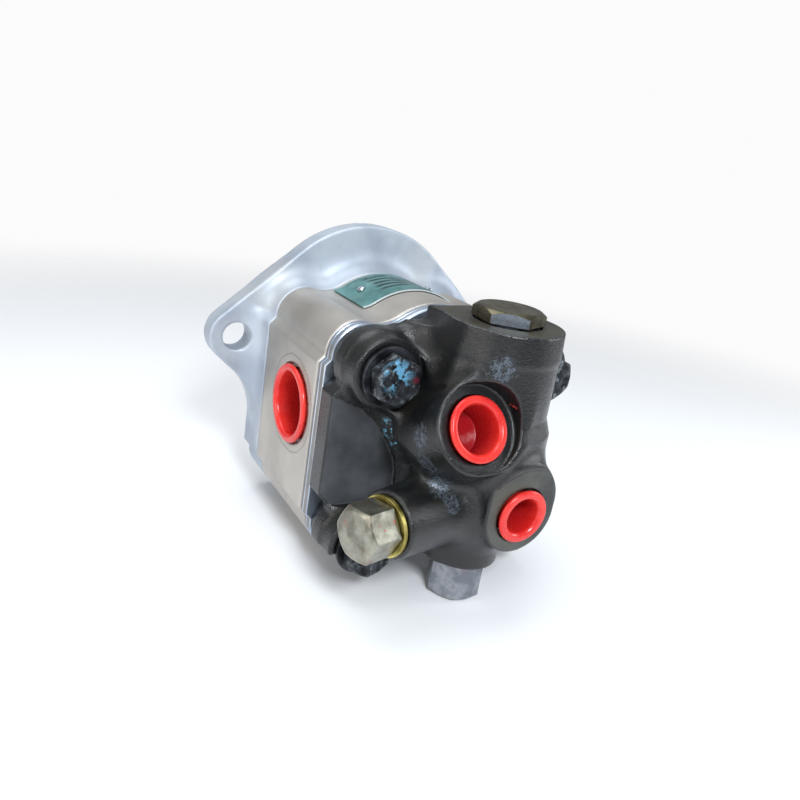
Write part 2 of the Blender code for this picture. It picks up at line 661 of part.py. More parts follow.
def build_flange():
    disc, ear, reach = FLANGE_DISC_RADIUS, FLANGE_EAR_RADIUS, FLANGE_BOLT_SPACING / 2
    lean = math.degrees(math.acos((disc - ear) / reach))

    def outline(grow):
        right = arc(reach, 0, ear + grow, -lean, lean, 8)
        top = arc(0, 0, disc + grow, lean, 180 - lean, 12)
        left = arc(-reach, 0, ear + grow, 180 - lean, 180 + lean, 8)
        bottom = arc(0, 0, disc + grow, 180 + lean, 360 - lean, 12)
        return right + top[1:-1] + left + bottom[1:-1]

    chamfer = CAST_CHAMFER
    rear = -FLANGE_THICKNESS
    flange = loft("flange", [(0, outline(-chamfer)), (-chamfer, outline(0)),
                             (rear + chamfer, outline(0)), (rear, outline(-chamfer))])
    pilot_radius = PILOT_DIAMETER / 2
    pilot = loft("pilot", [(PILOT_HEIGHT, circle(0, 0, pilot_radius - chamfer, 44)),
                           (PILOT_HEIGHT - chamfer, circle(0, 0, pilot_radius, 44)),
                           (-chamfer, circle(0, 0, pilot_radius, 44))])
    neck = loft("neck", [(-NECK_START, body_section(-chamfer)), (-NECK_START - chamfer, body_section()),
                         (NECK_END, body_section())])
    # casting fillet: the neck's outline grows in a quarter circle towards the flange
    flare_rings = []
    for share in (0, 0.15, 0.45, 1):
        grow = NECK_FILLET * (1 - math.sqrt(1 - (1 - share) ** 2)) - chamfer / 4
        flare_rings.append((rear - NECK_FILLET * share, body_section(grow)))
    flare_rings.insert(0, (rear + 2 * chamfer, body_section(NECK_FILLET)))
    flare = loft("flare", flare_rings)
    shadow = loft("flange_shadow", [(0, outline(-2 * chamfer)), (NECK_END - OVERCUT, outline(-2 * chamfer))])
    combine(flare, shadow, "INTERSECT")
    join(flange, pilot, neck, flare)

    seal_rear = PILOT_HEIGHT - SHAFT_SEAL_DEPTH - SHAFT_SEAL_WIDTH - JOINT_GAP
    clip_front = PILOT_HEIGHT - SHAFT_SEAL_DEPTH + JOINT_GAP
    groove = (clip_front, clip_front + CIRCLIP_THICKNESS + 2 * JOINT_GAP)
    bore = SHAFT_SEAL_RADIUS + JOINT_GAP
    groove_radius = bore + CIRCLIP_BITE + JOINT_GAP
    shaft_bore = JOURNAL_RADIUS + 2 * RUNNING_GAP
    bores = [rod("seal_bore", (0, PILOT_HEIGHT + OVERCUT, 0), (0, seal_rear, 0), bore, 32),
             rod("clip_groove", (0, groove[0], 0), (0, groove[1], 0), groove_radius, 32),
             rod("shaft_bore", (0, seal_rear + OVERCUT, 0), (0, NECK_END - OVERCUT, 0), shaft_bore, 28)]
    holes = [rod(f"ear_hole_{side}", (side * reach, OVERCUT, 0), (side * reach, rear - OVERCUT, 0),
                 FLANGE_HOLE_RADIUS, 24) for side in (-1, 1)]
    bolt_bottom = -BOLT_END + JOINT_GAP
    cut(flange, *bores, *holes, *bolt_holes("neck_bolt", bolt_bottom, NECK_END - OVERCUT),
        *dowel_holes("neck_dowel", NECK_END + DOWEL_REACH + JOINT_GAP, NECK_END - OVERCUT))
    use_manifold(flange)
    finish_part(flange, "mounting_flange", "cast_aluminium")


# Body with the gear chamber, the suction port and the seal grooves

def seal_groove(name, y_from, y_to):
    middle = CHAMBER_RADIUS + BODY_SEAL_OFFSET
    half = BODY_SEAL_WIRE + JOINT_GAP
    return sheet(name, [stadium(middle + half), stadium(middle - half)], y_from, y_to)


def build_body():
    chamfer = CAST_CHAMFER
    body = loft("body", [(BODY_FRONT, body_section(-chamfer)), (BODY_FRONT - chamfer, body_section()),
                         (BODY_REAR + chamfer, body_section()), (BODY_REAR, body_section(-chamfer))])
    front, rear = BODY_FRONT + OVERCUT, BODY_REAR - OVERCUT
    chamber = sheet("chamber", [chamber_section(CHAMBER_RADIUS)], front, rear)
    outlet = rod("outlet_pocket", (POCKET_X, GEAR_FRONT, MIDDLE_Z), (POCKET_X, rear, MIDDLE_Z), POCKET_RADIUS,
                 24)
    y, z = BODY_REAR + SUCTION_BACK, MIDDLE_Z + SUCTION_RISE
    port = rod("suction_port", (-SIDE_X - OVERCUT, y, z), (-SIDE_X + SUCTION_DEPTH, y, z), SUCTION_RADIUS, 32)
    port_seat = seal_seat("suction_seat", Vector((-SIDE_X, y, z)), Vector((-1, 0, 0)), SUCTION_SEAT_RADIUS)
    inlet = rod("suction_inlet", (-SIDE_X, y, z), (-POCKET_X, y, z), POCKET_RADIUS, 24)
    grooves = [seal_groove("front_groove", front, BODY_FRONT - BODY_SEAL_GROOVE),
               seal_groove("rear_groove", rear, BODY_REAR + BODY_SEAL_GROOVE)]
    dowels = dowel_holes("body_front_dowel", front, BODY_FRONT - DOWEL_REACH - JOINT_GAP)
    dowels += dowel_holes("body_rear_dowel", rear, BODY_REAR + DOWEL_REACH + JOINT_GAP)
    cut(body, chamber, outlet, port, port_seat, inlet, *grooves, *bolt_holes("body_bolt", front, rear), *dowels)
    cut(body, *[rivet_tool(f"rivet_hole_{i}", place, JOINT_GAP) for i, place in enumerate(rivet_places())])
    finish_part(body, "pump_body", "body_aluminium")


def build_seal_plate():
    outlines = [body_section(side=SEAL_PLATE_SIDE_X), circle(GALLERY_X, MIDDLE_Z, GALLERY_RADIUS, 16)]
    outlines += [circle(x, z, BOLT_RADIUS + BOLT_CLEARANCE, 12) for x, z in BOLT_PLACES]
    outlines += [circle(x, z, DOWEL_RADIUS + JOINT_GAP, 12) for x, z in DOWEL_PLACES]
    plate = sheet("seal_plate_blank", outlines, SEAL_PLATE_FRONT, SEAL_PLATE_REAR)
    finish_part(plate, "seal_plate", "bright_aluminium")


# Gears, shaft and bearings

def build_gears():
    front, rear = BODY_FRONT - RUNNING_GAP, BODY_REAR + RUNNING_GAP
    end, shaft = SHAFT_REACH, SHAFT_DIAMETER / 2
    along_y = along((0, 0, 0), (0, 1, 0))
    drive = sheet("drive_gear", [gear_section(0, 0, 0)], GEAR_FRONT, GEAR_REAR)
    seal_land = PILOT_HEIGHT - SHAFT_SEAL_DEPTH - SHAFT_SEAL_WIDTH - 2 * RUNNING_GAP
    bar = turned("drive_bar", [(0, end), (shaft - SHAFT_CHAMFER, end), (shaft, end - SHAFT_CHAMFER),
                               (shaft, SHAFT_SHOULDER), (SEAL_LAND_RADIUS, SHAFT_SHOULDER - SHAFT_CHAMFER),
                               (SEAL_LAND_RADIUS, seal_land), (JOURNAL_RADIUS, seal_land - SHAFT_CHAMFER),
                               (JOURNAL_RADIUS, rear + SHAFT_CHAMFER), (JOURNAL_RADIUS - SHAFT_CHAMFER, rear),
                               (0, rear)], along_y)
    key_rear, key_front = end - KEY_INSET - KEY_LENGTH, end - KEY_INSET
    key_floor = shaft - KEY_HEIGHT / 2
    half = KEY_WIDTH / 2
    keyway = brick("keyway", (-half - KEY_GAP, key_rear - KEY_GAP, key_floor - KEY_GAP),
                   (half + KEY_GAP, key_front + KEY_GAP, shaft + OVERCUT))
    drive_middle = (0, (GEAR_FRONT + GEAR_REAR) / 2, 0)
    join(drive, bar)
    cut(drive, keyway)
    finish_part(drive, "drive_gear_shaft", "steel", origin=drive_middle)
    key = brick("key", (-half, key_rear, key_floor), (half, key_front, key_floor + KEY_HEIGHT))
    finish_part(key, "shaft_key", "steel")

    # a tooth of the drive gear points at a gap of the idler
    idler = sheet("idler", [gear_section(0, IDLER_Z, 180 / GEAR_TEETH)], GEAR_FRONT, GEAR_REAR)
    axle = turned("idler_bar", [(0, front), (JOURNAL_RADIUS - SHAFT_CHAMFER, front),
                                (JOURNAL_RADIUS, front - SHAFT_CHAMFER),
                                (JOURNAL_RADIUS, rear + SHAFT_CHAMFER),
                                (JOURNAL_RADIUS - SHAFT_CHAMFER, rear), (0, rear)],
                  along((0, 0, IDLER_Z), (0, 1, 0)))
    join(idler, axle)
    finish_part(idler, "idler_gear", "steel", origin=(0, drive_middle[1], IDLER_Z))


def build_bearings():
    spans = {"front": (BODY_FRONT - RUNNING_GAP, GEAR_FRONT + RUNNING_GAP),
             "rear": (GEAR_REAR - RUNNING_GAP, BODY_REAR + RUNNING_GAP)}
    block_radius = CHAMBER_RADIUS - RUNNING_GAP
    bore = BUSH_OUTER_RADIUS + JOINT_GAP
    for end, (y_front, y_rear) in spans.items():
        outlines = [chamber_section(block_radius), circle(0, 0, bore, 24), circle(0, IDLER_Z, bore, 24)]
        carrier = sheet(end + "_carrier", outlines, y_front, y_rear)
        finish_part(carrier, f"{end}_bearing_block", "bronze")
        for gear, z in (("drive", 0), ("idler", IDLER_Z)):
            c = BUSH_CHAMFER
            length = y_front - y_rear
            bush = turned(f"{end}_{gear}_ring", [
                (BUSH_OUTER_RADIUS - c, length), (BUSH_OUTER_RADIUS, length - c), (BUSH_OUTER_RADIUS, 0),
                (BUSH_BORE_RADIUS, 0), (BUSH_BORE_RADIUS, length)],
                along((0, y_rear, z), (0, 1, 0)), steps=20, closed=True)
            finish_part(bush, f"{end}_{gear}_bush", "bronze")


# Seals

def build_seals():
    middle = CHAMBER_RADIUS + BODY_SEAL_OFFSET
    inset = BODY_SEAL_WIRE + JOINT_GAP
    for end, y in (("front", NECK_END - inset), ("rear", SEAL_PLATE_FRONT + inset)):
        path = [(x, y, z) for x, z in stadium(middle, 9)]
        finish_part(ring_seal(end + "_ring", path, BODY_SEAL_WIRE), f"{end}_body_seal", "rubber")

    front = PILOT_HEIGHT - SHAFT_SEAL_DEPTH
    rear = front - SHAFT_SEAL_WIDTH
    outer, wall, lip = SHAFT_SEAL_RADIUS, SHAFT_SEAL_WALL, SEAL_LAND_RADIUS + RUNNING_GAP
    middle_y = (front + rear) / 2
    # a stiff cup with a lip that reaches the shaft half way along
    seal = turned("lip_seal", [(outer, front), (outer, rear), (outer - 3 * wall, rear),
                               (outer - 3 * wall, rear + wall), (outer - wall, rear + wall),
                               (outer - wall, front - wall), (lip + wall, front - wall),
                               (lip + wall, middle_y - wall), (lip, middle_y), (lip + wall / 2, front)],
                  along((0, 0, 0), (0, 1, 0)), closed=True)
    finish_part(seal, "shaft_seal", "rubber")

    clip_outer = SHAFT_SEAL_RADIUS + JOINT_GAP + CIRCLIP_BITE
    clip_rear = front + 2 * JOINT_GAP
    start, end = 90 + CIRCLIP_OPENING / 2, 450 - CIRCLIP_OPENING / 2
    ring = arc(0, 0, clip_outer, start, end, 26)
    lug = arc(0, 0, clip_outer - CIRCLIP_WIDTH * 1.6, end, end - 8, 2)
    inner = arc(0, 0, clip_outer - CIRCLIP_WIDTH, end - 10, start + 10, 22)
    other_lug = arc(0, 0, clip_outer - CIRCLIP_WIDTH * 1.6, start + 8, start, 2)
    clip = sheet("clip", [ring + lug + inner + other_lug], clip_rear, clip_rear + CIRCLIP_THICKNESS)
    finish_part(clip, "seal_circlip", "steel")


# Bolts, washers, dowels and nameplate

def build_fasteners():
    head_front = BOLT_SEAT - 2 * JOINT_GAP - WASHER_THICKNESS
    for i, (x, z) in enumerate(BOLT_PLACES, start=1):
        head = hexagon(f"head_{i}", (x, head_front, z), (x, head_front - BOLT_HEAD_HEIGHT, z), BOLT_HEAD_FLATS)
        tip = BOLT_RADIUS * 0.8
        chamfer = BOLT_RADIUS - tip
        shank = turned(f"shank_{i}", [(0, -BOLT_END), (tip, -BOLT_END), (BOLT_RADIUS, -BOLT_END - chamfer),
                                      (BOLT_RADIUS, head_front - BOLT_HEAD_HEIGHT / 2),
                                      (0, head_front - BOLT_HEAD_HEIGHT / 2)],
                       along((x, 0, z), (0, 1, 0)), steps=12)
        finish_part(join(head, shank), f"through_bolt_{i}", "black_steel")
        c = CAST_CHAMFER / 2
        washer = turned(f"washer_{i}", [
            (WASHER_RADIUS, WASHER_THICKNESS), (WASHER_RADIUS, c), (WASHER_RADIUS - c, 0),
            (BOLT_RADIUS + BOLT_CLEARANCE, 0),
            (BOLT_RADIUS + BOLT_CLEARANCE, WASHER_THICKNESS)],
            along((x, head_front + JOINT_GAP, z), (0, 1, 0)), steps=20, closed=True)
        finish_part(washer, f"bolt_washer_{i}", "black_steel")

    joints = ((NECK_END + DOWEL_REACH, BODY_FRONT - DOWEL_REACH),
              (BODY_REAR + DOWEL_REACH, BLOCK_FRONT - DOWEL_REACH))
    number = 0
    for y_front, y_rear in joints:
        for x, z in DOWEL_PLACES:
            number += 1
            pin = rod(f"pin_{number}", (x, y_front, z), (x, y_rear, z), DOWEL_RADIUS, 12)
            finish_part(pin, f"dowel_pin_{number}", "steel")


def nameplate_span(grow):
    """The stretch of the body's outline under the nameplate, from its right end to its left."""
    def upper(outline):
        return sorted((point for point in outline if point[1] > MIDDLE_Z + BOLT_RISE), reverse=True)

    base, grown = upper(body_section()), upper(body_section(grow))
    span = []
    for i in range(len(base) - 1):
        start, end = base[i][0], base[i + 1][0]
        for edge in (PLATE_RIGHT_X, -PLATE_LEFT_X):
            if end < edge <= start:
                span.append(tuple(Vector(grown[i]).lerp(Vector(grown[i + 1]), (start - edge) / (start - end))))
        if -PLATE_LEFT_X < end < PLATE_RIGHT_X:
            span.append(grown[i + 1])
    return span


def rivet_places():
    """Foot and outward direction of each nameplate rivet, on the foil's surface."""
    hollow = hollow_centre()
    half_angle = math.atan2(hollow.x, hollow.y)
    rows = (BODY_FRONT - RIVET_INSET, BODY_FRONT - PLATE_LENGTH + RIVET_INSET / 2)
    places = []
    for turn, y in zip(RIVET_TURNS, rows):
        outward = Vector((math.sin(turn * half_angle), 0, math.cos(turn * half_angle)))
        places.append((outward * (MAIN_RADIUS + 2 * JOINT_GAP + PLATE_FOIL) + Vector((0, y, 0)), outward))
    return places


def rivet_tool(name, place, grow):
    foot, outward = place
    depth = RIVET_SHANK + 2 * JOINT_GAP + PLATE_FOIL + grow
    return rod(name, foot - outward * depth, foot + outward * RIVET_HEIGHT, RIVET_SHANK_RADIUS + grow, 14)


def build_nameplate():
    rear = BODY_FRONT - PLATE_FRONT - PLATE_LENGTH
    outline = nameplate_span(JOINT_GAP + PLATE_FOIL) + nameplate_span(JOINT_GAP)[::-1]
    foil = sheet("foil", [outline], BODY_FRONT - PLATE_FRONT, rear)
    cut(foil, *[rivet_tool(f"foil_hole_{i}", place, JOINT_GAP) for i, place in enumerate(rivet_places())])
    finish_part(foil, "nameplate", "teal_foil")
    for i, (foot, outward) in enumerate(rivet_places(), start=1):
        dome = turned(f"rivet_dome_{i}", [(0, RIVET_HEIGHT), (RIVET_RADIUS * 0.6, RIVET_HEIGHT * 0.8),
                                          (RIVET_RADIUS, 0), (RIVET_SHANK_RADIUS, 0),
                                          (RIVET_SHANK_RADIUS, -RIVET_SHANK), (0, -RIVET_SHANK)],
                      along(foot, outward), steps=18)
        finish_part(dome, f"nameplate_rivet_{i}", "steel")


# Valve block

def build_block():
    chamfer = CAST_CHAMFER
    block = loft("plate", [(BLOCK_FRONT, block_section(-chamfer)), (BLOCK_FRONT - chamfer, block_section()),
                           (BLOCK_REAR + chamfer, block_section()), (BLOCK_REAR, block_section(-chamfer))])
    sunk = BLOCK_REAR + 4 * chamfer   # the cast forms start inside the plate
    for i, (x, z) in enumerate(BOLT_PLACES):
        pad = turned(f"bolt_pad_{i}", [
            (0, sunk), (BOLT_PAD_RADIUS, sunk), (BOLT_PAD_RADIUS, BOLT_SEAT + chamfer),
            (BOLT_PAD_RADIUS - chamfer, BOLT_SEAT), (0, BOLT_SEAT)],
            along((x, 0, z), (0, 1, 0)), steps=24)
        join(block, pad)
    join(block, loft("web", [(sunk, web_section()), (SPOOL_Y, web_section(WEB_NARROWING))]))
    # the machined top face: a round boss with a wing that reaches forward over the plate
    wing_y = BLOCK_REAR + WING_START
    top = [(-WING_LEFT_X, wing_y)] + arc(SPOOL_X, SPOOL_Y, TOP_BOSS_RADIUS, TOP_BOSS_TANGENT, 360, 18)
    top.append((SPOOL_X + TOP_BOSS_RADIUS, wing_y))
    join(block, slab("top_slab", top, TOP_FACE_Z - WING_THICKNESS, TOP_FACE_Z))

    upright = along((SPOOL_X, SPOOL_Y, 0), (0, 0, 1))
    boss_top = TOP_FACE_Z - WING_THICKNESS / 2
    neck = TOP_BOSS_RADIUS - chamfer / 2
    slab_under = TOP_FACE_Z - WING_THICKNESS
    barrel = turned("barrel", [
        (0, boss_top), (neck, boss_top), (neck, slab_under + chamfer),
        (BARREL_RADIUS, slab_under + chamfer - TOP_BOSS_CHAMFER), (BARREL_RADIUS, BARREL_LOW_Z),
        (BARREL_RADIUS - BARREL_TAPER, BULGE_HIGH_Z + BULGE_RISE), (BULGE_RADIUS, BULGE_HIGH_Z),
        (BULGE_RADIUS, BULGE_LOW_Z), (WAIST_RADIUS, WAIST_HIGH_Z), (WAIST_RADIUS, WAIST_LOW_Z),
        (BOTTOM_BOSS_RADIUS, BOTTOM_BOSS_Z), (BOTTOM_BOSS_RADIUS, BOTTOM_FACE_Z + chamfer),
        (BOTTOM_BOSS_RADIUS - chamfer, BOTTOM_FACE_Z), (0, BOTTOM_FACE_Z)], upright, steps=32)
    join(block, barrel)

    lower_face = (LOWER_PORT_X, LOWER_PORT_FACE, LOWER_PORT_Z)
    oval = (arc(LOWER_PORT_X, LOWER_PORT_Z + LOWER_PORT_OVAL, LOWER_PORT_BOSS, 0, 180, 12)
            + arc(LOWER_PORT_X, LOWER_PORT_Z, LOWER_PORT_BOSS, 180, 360, 12))
    join(block, sheet("lower_boss", [oval], SPOOL_Y, LOWER_PORT_FACE))

    upper_out = Vector((0, -math.cos(UPPER_PORT_TILT), math.sin(UPPER_PORT_TILT)))
    upper_face = Vector((UPPER_PORT_X, SPOOL_Y - UPPER_PORT_REACH, UPPER_PORT_Z))
    join(block, rod("upper_boss", upper_face, upper_face - upper_out * UPPER_BOSS_LENGTH, UPPER_PORT_BOSS, 28,
                    UPPER_PORT_BOSS * CAST_DRAFT))

    left_out = Vector((-math.cos(LEFT_PLUG_TURN), -math.sin(LEFT_PLUG_TURN), 0))
    left_root = Vector((SPOOL_X, SPOOL_Y, LEFT_PLUG_Z))
    washer_seat = LEFT_PLUG_REACH - LEFT_PLUG_HEAD - LEFT_WASHER_THICKNESS - 2 * JOINT_GAP
    join(block, rod("left_barrel", left_root, left_root + left_out * washer_seat,
                    LEFT_BARREL_RADIUS * CAST_DRAFT, 28, LEFT_BARREL_RADIUS))

    # bores, from the joint with the seal plate rearwards and from the ports inwards
    gallery = rod("gallery", (GALLERY_X, BLOCK_FRONT + OVERCUT, MIDDLE_Z), (GALLERY_X, SPOOL_Y, MIDDLE_Z),
                  GALLERY_RADIUS, 16)
    seal_space = TOP_PLUG_SHANK_RADIUS + PLUG_SEAL_SPACE
    relief_space = RELIEF_SHANK_RADIUS + 2 * PLUG_SEAL_WIRE + 2 * JOINT_GAP
    plug_bore = TOP_PLUG_SHANK_RADIUS + JOINT_GAP
    plug_floor = TOP_FACE_Z - TOP_PLUG_SHANK - JOINT_GAP
    spool_bore = SPOOL_RADIUS + RUNNING_GAP
    seat_bore = SEAT_RADIUS + JOINT_GAP
    relief_bore = RELIEF_SHANK_RADIUS + JOINT_GAP
    relief_top = RELIEF_SHANK_TOP + JOINT_GAP
    main_bore = turned("main_bore", [
        (0, TOP_FACE_Z + OVERCUT), (seal_space, TOP_FACE_Z + OVERCUT), (seal_space, TOP_FACE_Z - PLUG_SEAL_SPACE),
        (plug_bore, TOP_FACE_Z - PLUG_SEAL_SPACE), (plug_bore, plug_floor), (spool_bore, plug_floor),
        (spool_bore, SEAT_TOP + JOINT_GAP), (seat_bore, SEAT_TOP + JOINT_GAP), (seat_bore, relief_top),
        (relief_bore, relief_top), (relief_bore, BOTTOM_FACE_Z + PLUG_SEAL_SPACE),
        (relief_space, BOTTOM_FACE_Z + PLUG_SEAL_SPACE), (relief_space, BOTTOM_FACE_Z - OVERCUT),
        (0, BOTTOM_FACE_Z - OVERCUT)], upright, steps=20)
    low = Vector(lower_face)
    back = Vector((0, 1, 0))
    upper_floor = upper_face - upper_out * PORT_DEPTH
    ports = [
        rod("lower_port", low - back * OVERCUT, low + back * PORT_DEPTH, LOWER_PORT_RADIUS, 24),
        seal_seat("lower_seat", low, -back, LOWER_SEAT_RADIUS),
        rod("lower_passage", low, (SPOOL_X, SPOOL_Y, LOWER_PORT_Z), PORT_PASSAGE_RADIUS, 12),
        rod("upper_port", upper_face + upper_out * OVERCUT, upper_floor, UPPER_PORT_RADIUS, 24),
        seal_seat("upper_seat", upper_face, upper_out, UPPER_SEAT_RADIUS),
        rod("upper_passage", upper_floor + upper_out * OVERCUT, (SPOOL_X, SPOOL_Y, upper_floor.z),
            PORT_PASSAGE_RADIUS, 12),
    ]
    plug_mouth = left_root + left_out * (washer_seat + OVERCUT)
    plug_end = left_root + left_out * (washer_seat - LEFT_PLUG_SHANK - JOINT_GAP)
    left_bore = rod("left_bore", plug_mouth, plug_end, LEFT_PLUG_SHANK_RADIUS + JOINT_GAP, 20)
    left_passage = rod("left_passage", plug_end + left_out * OVERCUT, left_root, PORT_PASSAGE_RADIUS, 12)
    # the upper bolts' spot faces bite into the sides of the barrel
    head_end = BOLT_SEAT - WASHER_THICKNESS - BOLT_HEAD_HEIGHT - 4 * JOINT_GAP
    spot_faces = [rod(f"spot_face_{i}", (x, BOLT_SEAT, z), (x, head_end, z), SPOT_FACE_RADIUS, 24)
                  for i, (x, z) in enumerate(BOLT_PLACES) if z > MIDDLE_Z]
    cut(block, gallery, main_bore, *ports, left_bore, left_passage,
        rod("upper_spot_face", upper_face, upper_face + upper_out * UPPER_SPOT_REACH, UPPER_PORT_BOSS + JOINT_GAP, 28),
        *spot_faces, *bolt_holes("block_bolt", BLOCK_FRONT + OVERCUT, BOLT_SEAT - OVERCUT),
        *dowel_holes("block_dowel", BLOCK_FRONT + OVERCUT, BLOCK_FRONT - DOWEL_REACH - JOINT_GAP))
    use_manifold(block)
    finish_part(block, "valve_block", "black_iron")
    return upper_face, upper_out, left_root, left_out, washer_seat


def build_plugs(left_root, left_out, washer_seat):
    upright = along((SPOOL_X, SPOOL_Y, 0), (0, 0, 1))
    head_base = TOP_FACE_Z + JOINT_GAP
    plug = hexagon("top_hex", (SPOOL_X, SPOOL_Y, head_base), (SPOOL_X, SPOOL_Y, head_base + TOP_PLUG_HEIGHT),
                   TOP_PLUG_FLATS)
    shank = turned("top_shank", [(0, head_base + TOP_PLUG_HEIGHT / 2),
                                 (TOP_PLUG_SHANK_RADIUS, head_base + TOP_PLUG_HEIGHT / 2),
                                 (TOP_PLUG_SHANK_RADIUS, TOP_FACE_Z - TOP_PLUG_SHANK),
                                 (0, TOP_FACE_Z - TOP_PLUG_SHANK)], upright)
    finish_part(join(plug, shank), "top_plug", "black_steel")

    def upright_seal(name, shank_radius, z):
        radius = shank_radius + JOINT_GAP + PLUG_SEAL_WIRE
        path = [(SPOOL_X + x, SPOOL_Y + y, z) for x, y in circle(0, 0, radius, 18)]
        finish_part(ring_seal(name + "_ring", path, PLUG_SEAL_WIRE), name, "rubber")

    upright_seal("top_plug_seal", TOP_PLUG_SHANK_RADIUS, TOP_FACE_Z - PLUG_SEAL_SPACE / 2)
    upright_seal("relief_cap_seal", RELIEF_SHANK_RADIUS, BOTTOM_FACE_Z + PLUG_SEAL_SPACE / 2)

    head_root = LEFT_PLUG_REACH - LEFT_PLUG_HEAD
    left = hexagon("left_hex", left_root + left_out * head_root, left_root + left_out * LEFT_PLUG_REACH,
                   LEFT_PLUG_FLATS)
    stem = rod("left_stem", left_root + left_out * (head_root + LEFT_PLUG_HEAD / 2),
               left_root + left_out * (washer_seat - LEFT_PLUG_SHANK), LEFT_PLUG_SHANK_RADIUS, 28)
    finish_part(join(left, stem), "left_plug", "steel")
    inner = LEFT_PLUG_SHANK_RADIUS + JOINT_GAP
    washer = turned("bonded_ring", [
        (LEFT_WASHER_RADIUS, LEFT_WASHER_THICKNESS), (LEFT_WASHER_RADIUS, 0), (inner, 0),
        (inner, LEFT_WASHER_THICKNESS)], along(left_root + left_out * (washer_seat + JOINT_GAP), left_out),
        closed=True)
    finish_part(washer, "left_plug_washer", "yellow_zinc")

    cap_top = BOTTOM_FACE_Z - JOINT_GAP
    cap_bottom = cap_top - RELIEF_CAP_HEIGHT
    cap = hexagon("relief_hex", (SPOOL_X, SPOOL_Y, cap_top), (SPOOL_X, SPOOL_Y, cap_bottom), RELIEF_CAP_FLATS)
    neck = turned("relief_neck", [(0, RELIEF_SHANK_TOP), (RELIEF_SHANK_RADIUS, RELIEF_SHANK_TOP),
                                  (RELIEF_SHANK_RADIUS, cap_top - RELIEF_CAVITY_FLOOR),
                                  (0, cap_top - RELIEF_CAVITY_FLOOR)], upright)
    cavity = turned("relief_cavity", [(0, RELIEF_SHANK_TOP + OVERCUT),
                                      (RELIEF_CAVITY_RADIUS, RELIEF_SHANK_TOP + OVERCUT),
                                      (RELIEF_CAVITY_RADIUS, cap_bottom + RELIEF_CAVITY_FLOOR),
                                      (0, cap_bottom + RELIEF_CAVITY_FLOOR)], upright, steps=20)
    join(cap, neck)
    finish_part(cut(cap, cavity), "relief_cap", "steel")


def build_valve():
    upright = along((SPOOL_X, SPOOL_Y, 0), (0, 0, 1))
    top, bottom = SPOOL_TOP, SPOOL_BOTTOM
    land, groove, nose = SPOOL_RADIUS, SPOOL_GROOVE_RADIUS, SPOOL_SPRING_RADIUS - SPOOL_SPRING_WIRE - RUNNING_GAP
    third = SPOOL_LENGTH / 3
    balance = 0.0004            # depth of the balancing grooves in the lower land
    profile = [(0, top), (land - balance, top), (land, top - balance), (land, top - third * 0.8),
               (groove, top - third), (groove, top - third * 1.6), (land, top - third * 1.8)]
    for share in (2.2, 2.6):
        z = top - third * share
        profile += [(land, z + balance), (land - balance, z), (land, z - balance)]
    profile += [(land, bottom), (nose, bottom), (nose, bottom - third / 3), (0, bottom - third / 3)]
    spool = turned("spool_bar", profile, upright, steps=18)
    finish_part(spool, "flow_spool", "steel")
    spring = coil("spool_coil", SPOOL_X, SPOOL_Y, SPOOL_SPRING_BOTTOM, bottom - RUNNING_GAP,
                  SPOOL_SPRING_RADIUS, SPOOL_SPRING_WIRE, 6)
    finish_part(spring, "spool_spring", "steel")
    seat = turned("seat_ring", [(SEAT_RADIUS, SEAT_TOP), (SEAT_RADIUS, SEAT_BOTTOM),
                                (SEAT_HOLE_RADIUS, SEAT_BOTTOM), (SEAT_HOLE_RADIUS, SEAT_TOP)],
                  upright, steps=20, closed=True)
    finish_part(seat, "relief_seat", "steel")

    # the cone reaches into the seat's hole and keeps a running gap to its edge
    tip = SEAT_BOTTOM + POPPET_TIP
    guide = SEAT_BOTTOM - POPPET_CONE
    collar, foot = guide - POPPET_COLLAR, guide - POPPET_COLLAR - POPPET_STEM
    stem_radius = RELIEF_SPRING_RADIUS - RELIEF_SPRING_WIRE - 2 * RUNNING_GAP
    mouth = SEAT_HOLE_RADIUS - RUNNING_GAP
    poppet = turned("poppet_bar", [(0, tip), (mouth / 3, tip), (mouth, SEAT_BOTTOM - RUNNING_GAP / 2),
                                   (POPPET_RADIUS, guide), (POPPET_RADIUS, collar), (stem_radius, collar),
                                   (stem_radius, foot), (0, foot)], upright, steps=20)
    finish_part(poppet, "relief_poppet", "steel")
    floor = BOTTOM_FACE_Z - JOINT_GAP - RELIEF_CAP_HEIGHT + RELIEF_CAVITY_FLOOR
    relief = coil("relief_coil", SPOOL_X, SPOOL_Y, floor + RUNNING_GAP, collar - RUNNING_GAP,
                  RELIEF_SPRING_RADIUS, RELIEF_SPRING_WIRE, 7)
    finish_part(relief, "relief_spring", "steel")


# Transport caps

def build_cap(name, face, outward, ring, bore, depth):
    """A push-in cup with a rim that lies on the port's face."""
    outer = bore - CAP_CLEARANCE
    inner = outer - PORT_CAP_WALL
    rim, under, wall = PORT_CAP_RING_THICKNESS + JOINT_GAP, JOINT_GAP, PORT_CAP_WALL
    cup = turned(name + "_cup", [
        (inner, rim), (ring - wall / 3, rim), (ring, rim - wall / 3), (ring, under), (outer, under),
        (outer - wall / 3, -depth), (0, -depth), (0, -depth + wall), (inner - wall / 3, -depth + wall)],
        along(face, outward), steps=28, closed=True)
    finish_part(cup, name, "red_plastic")


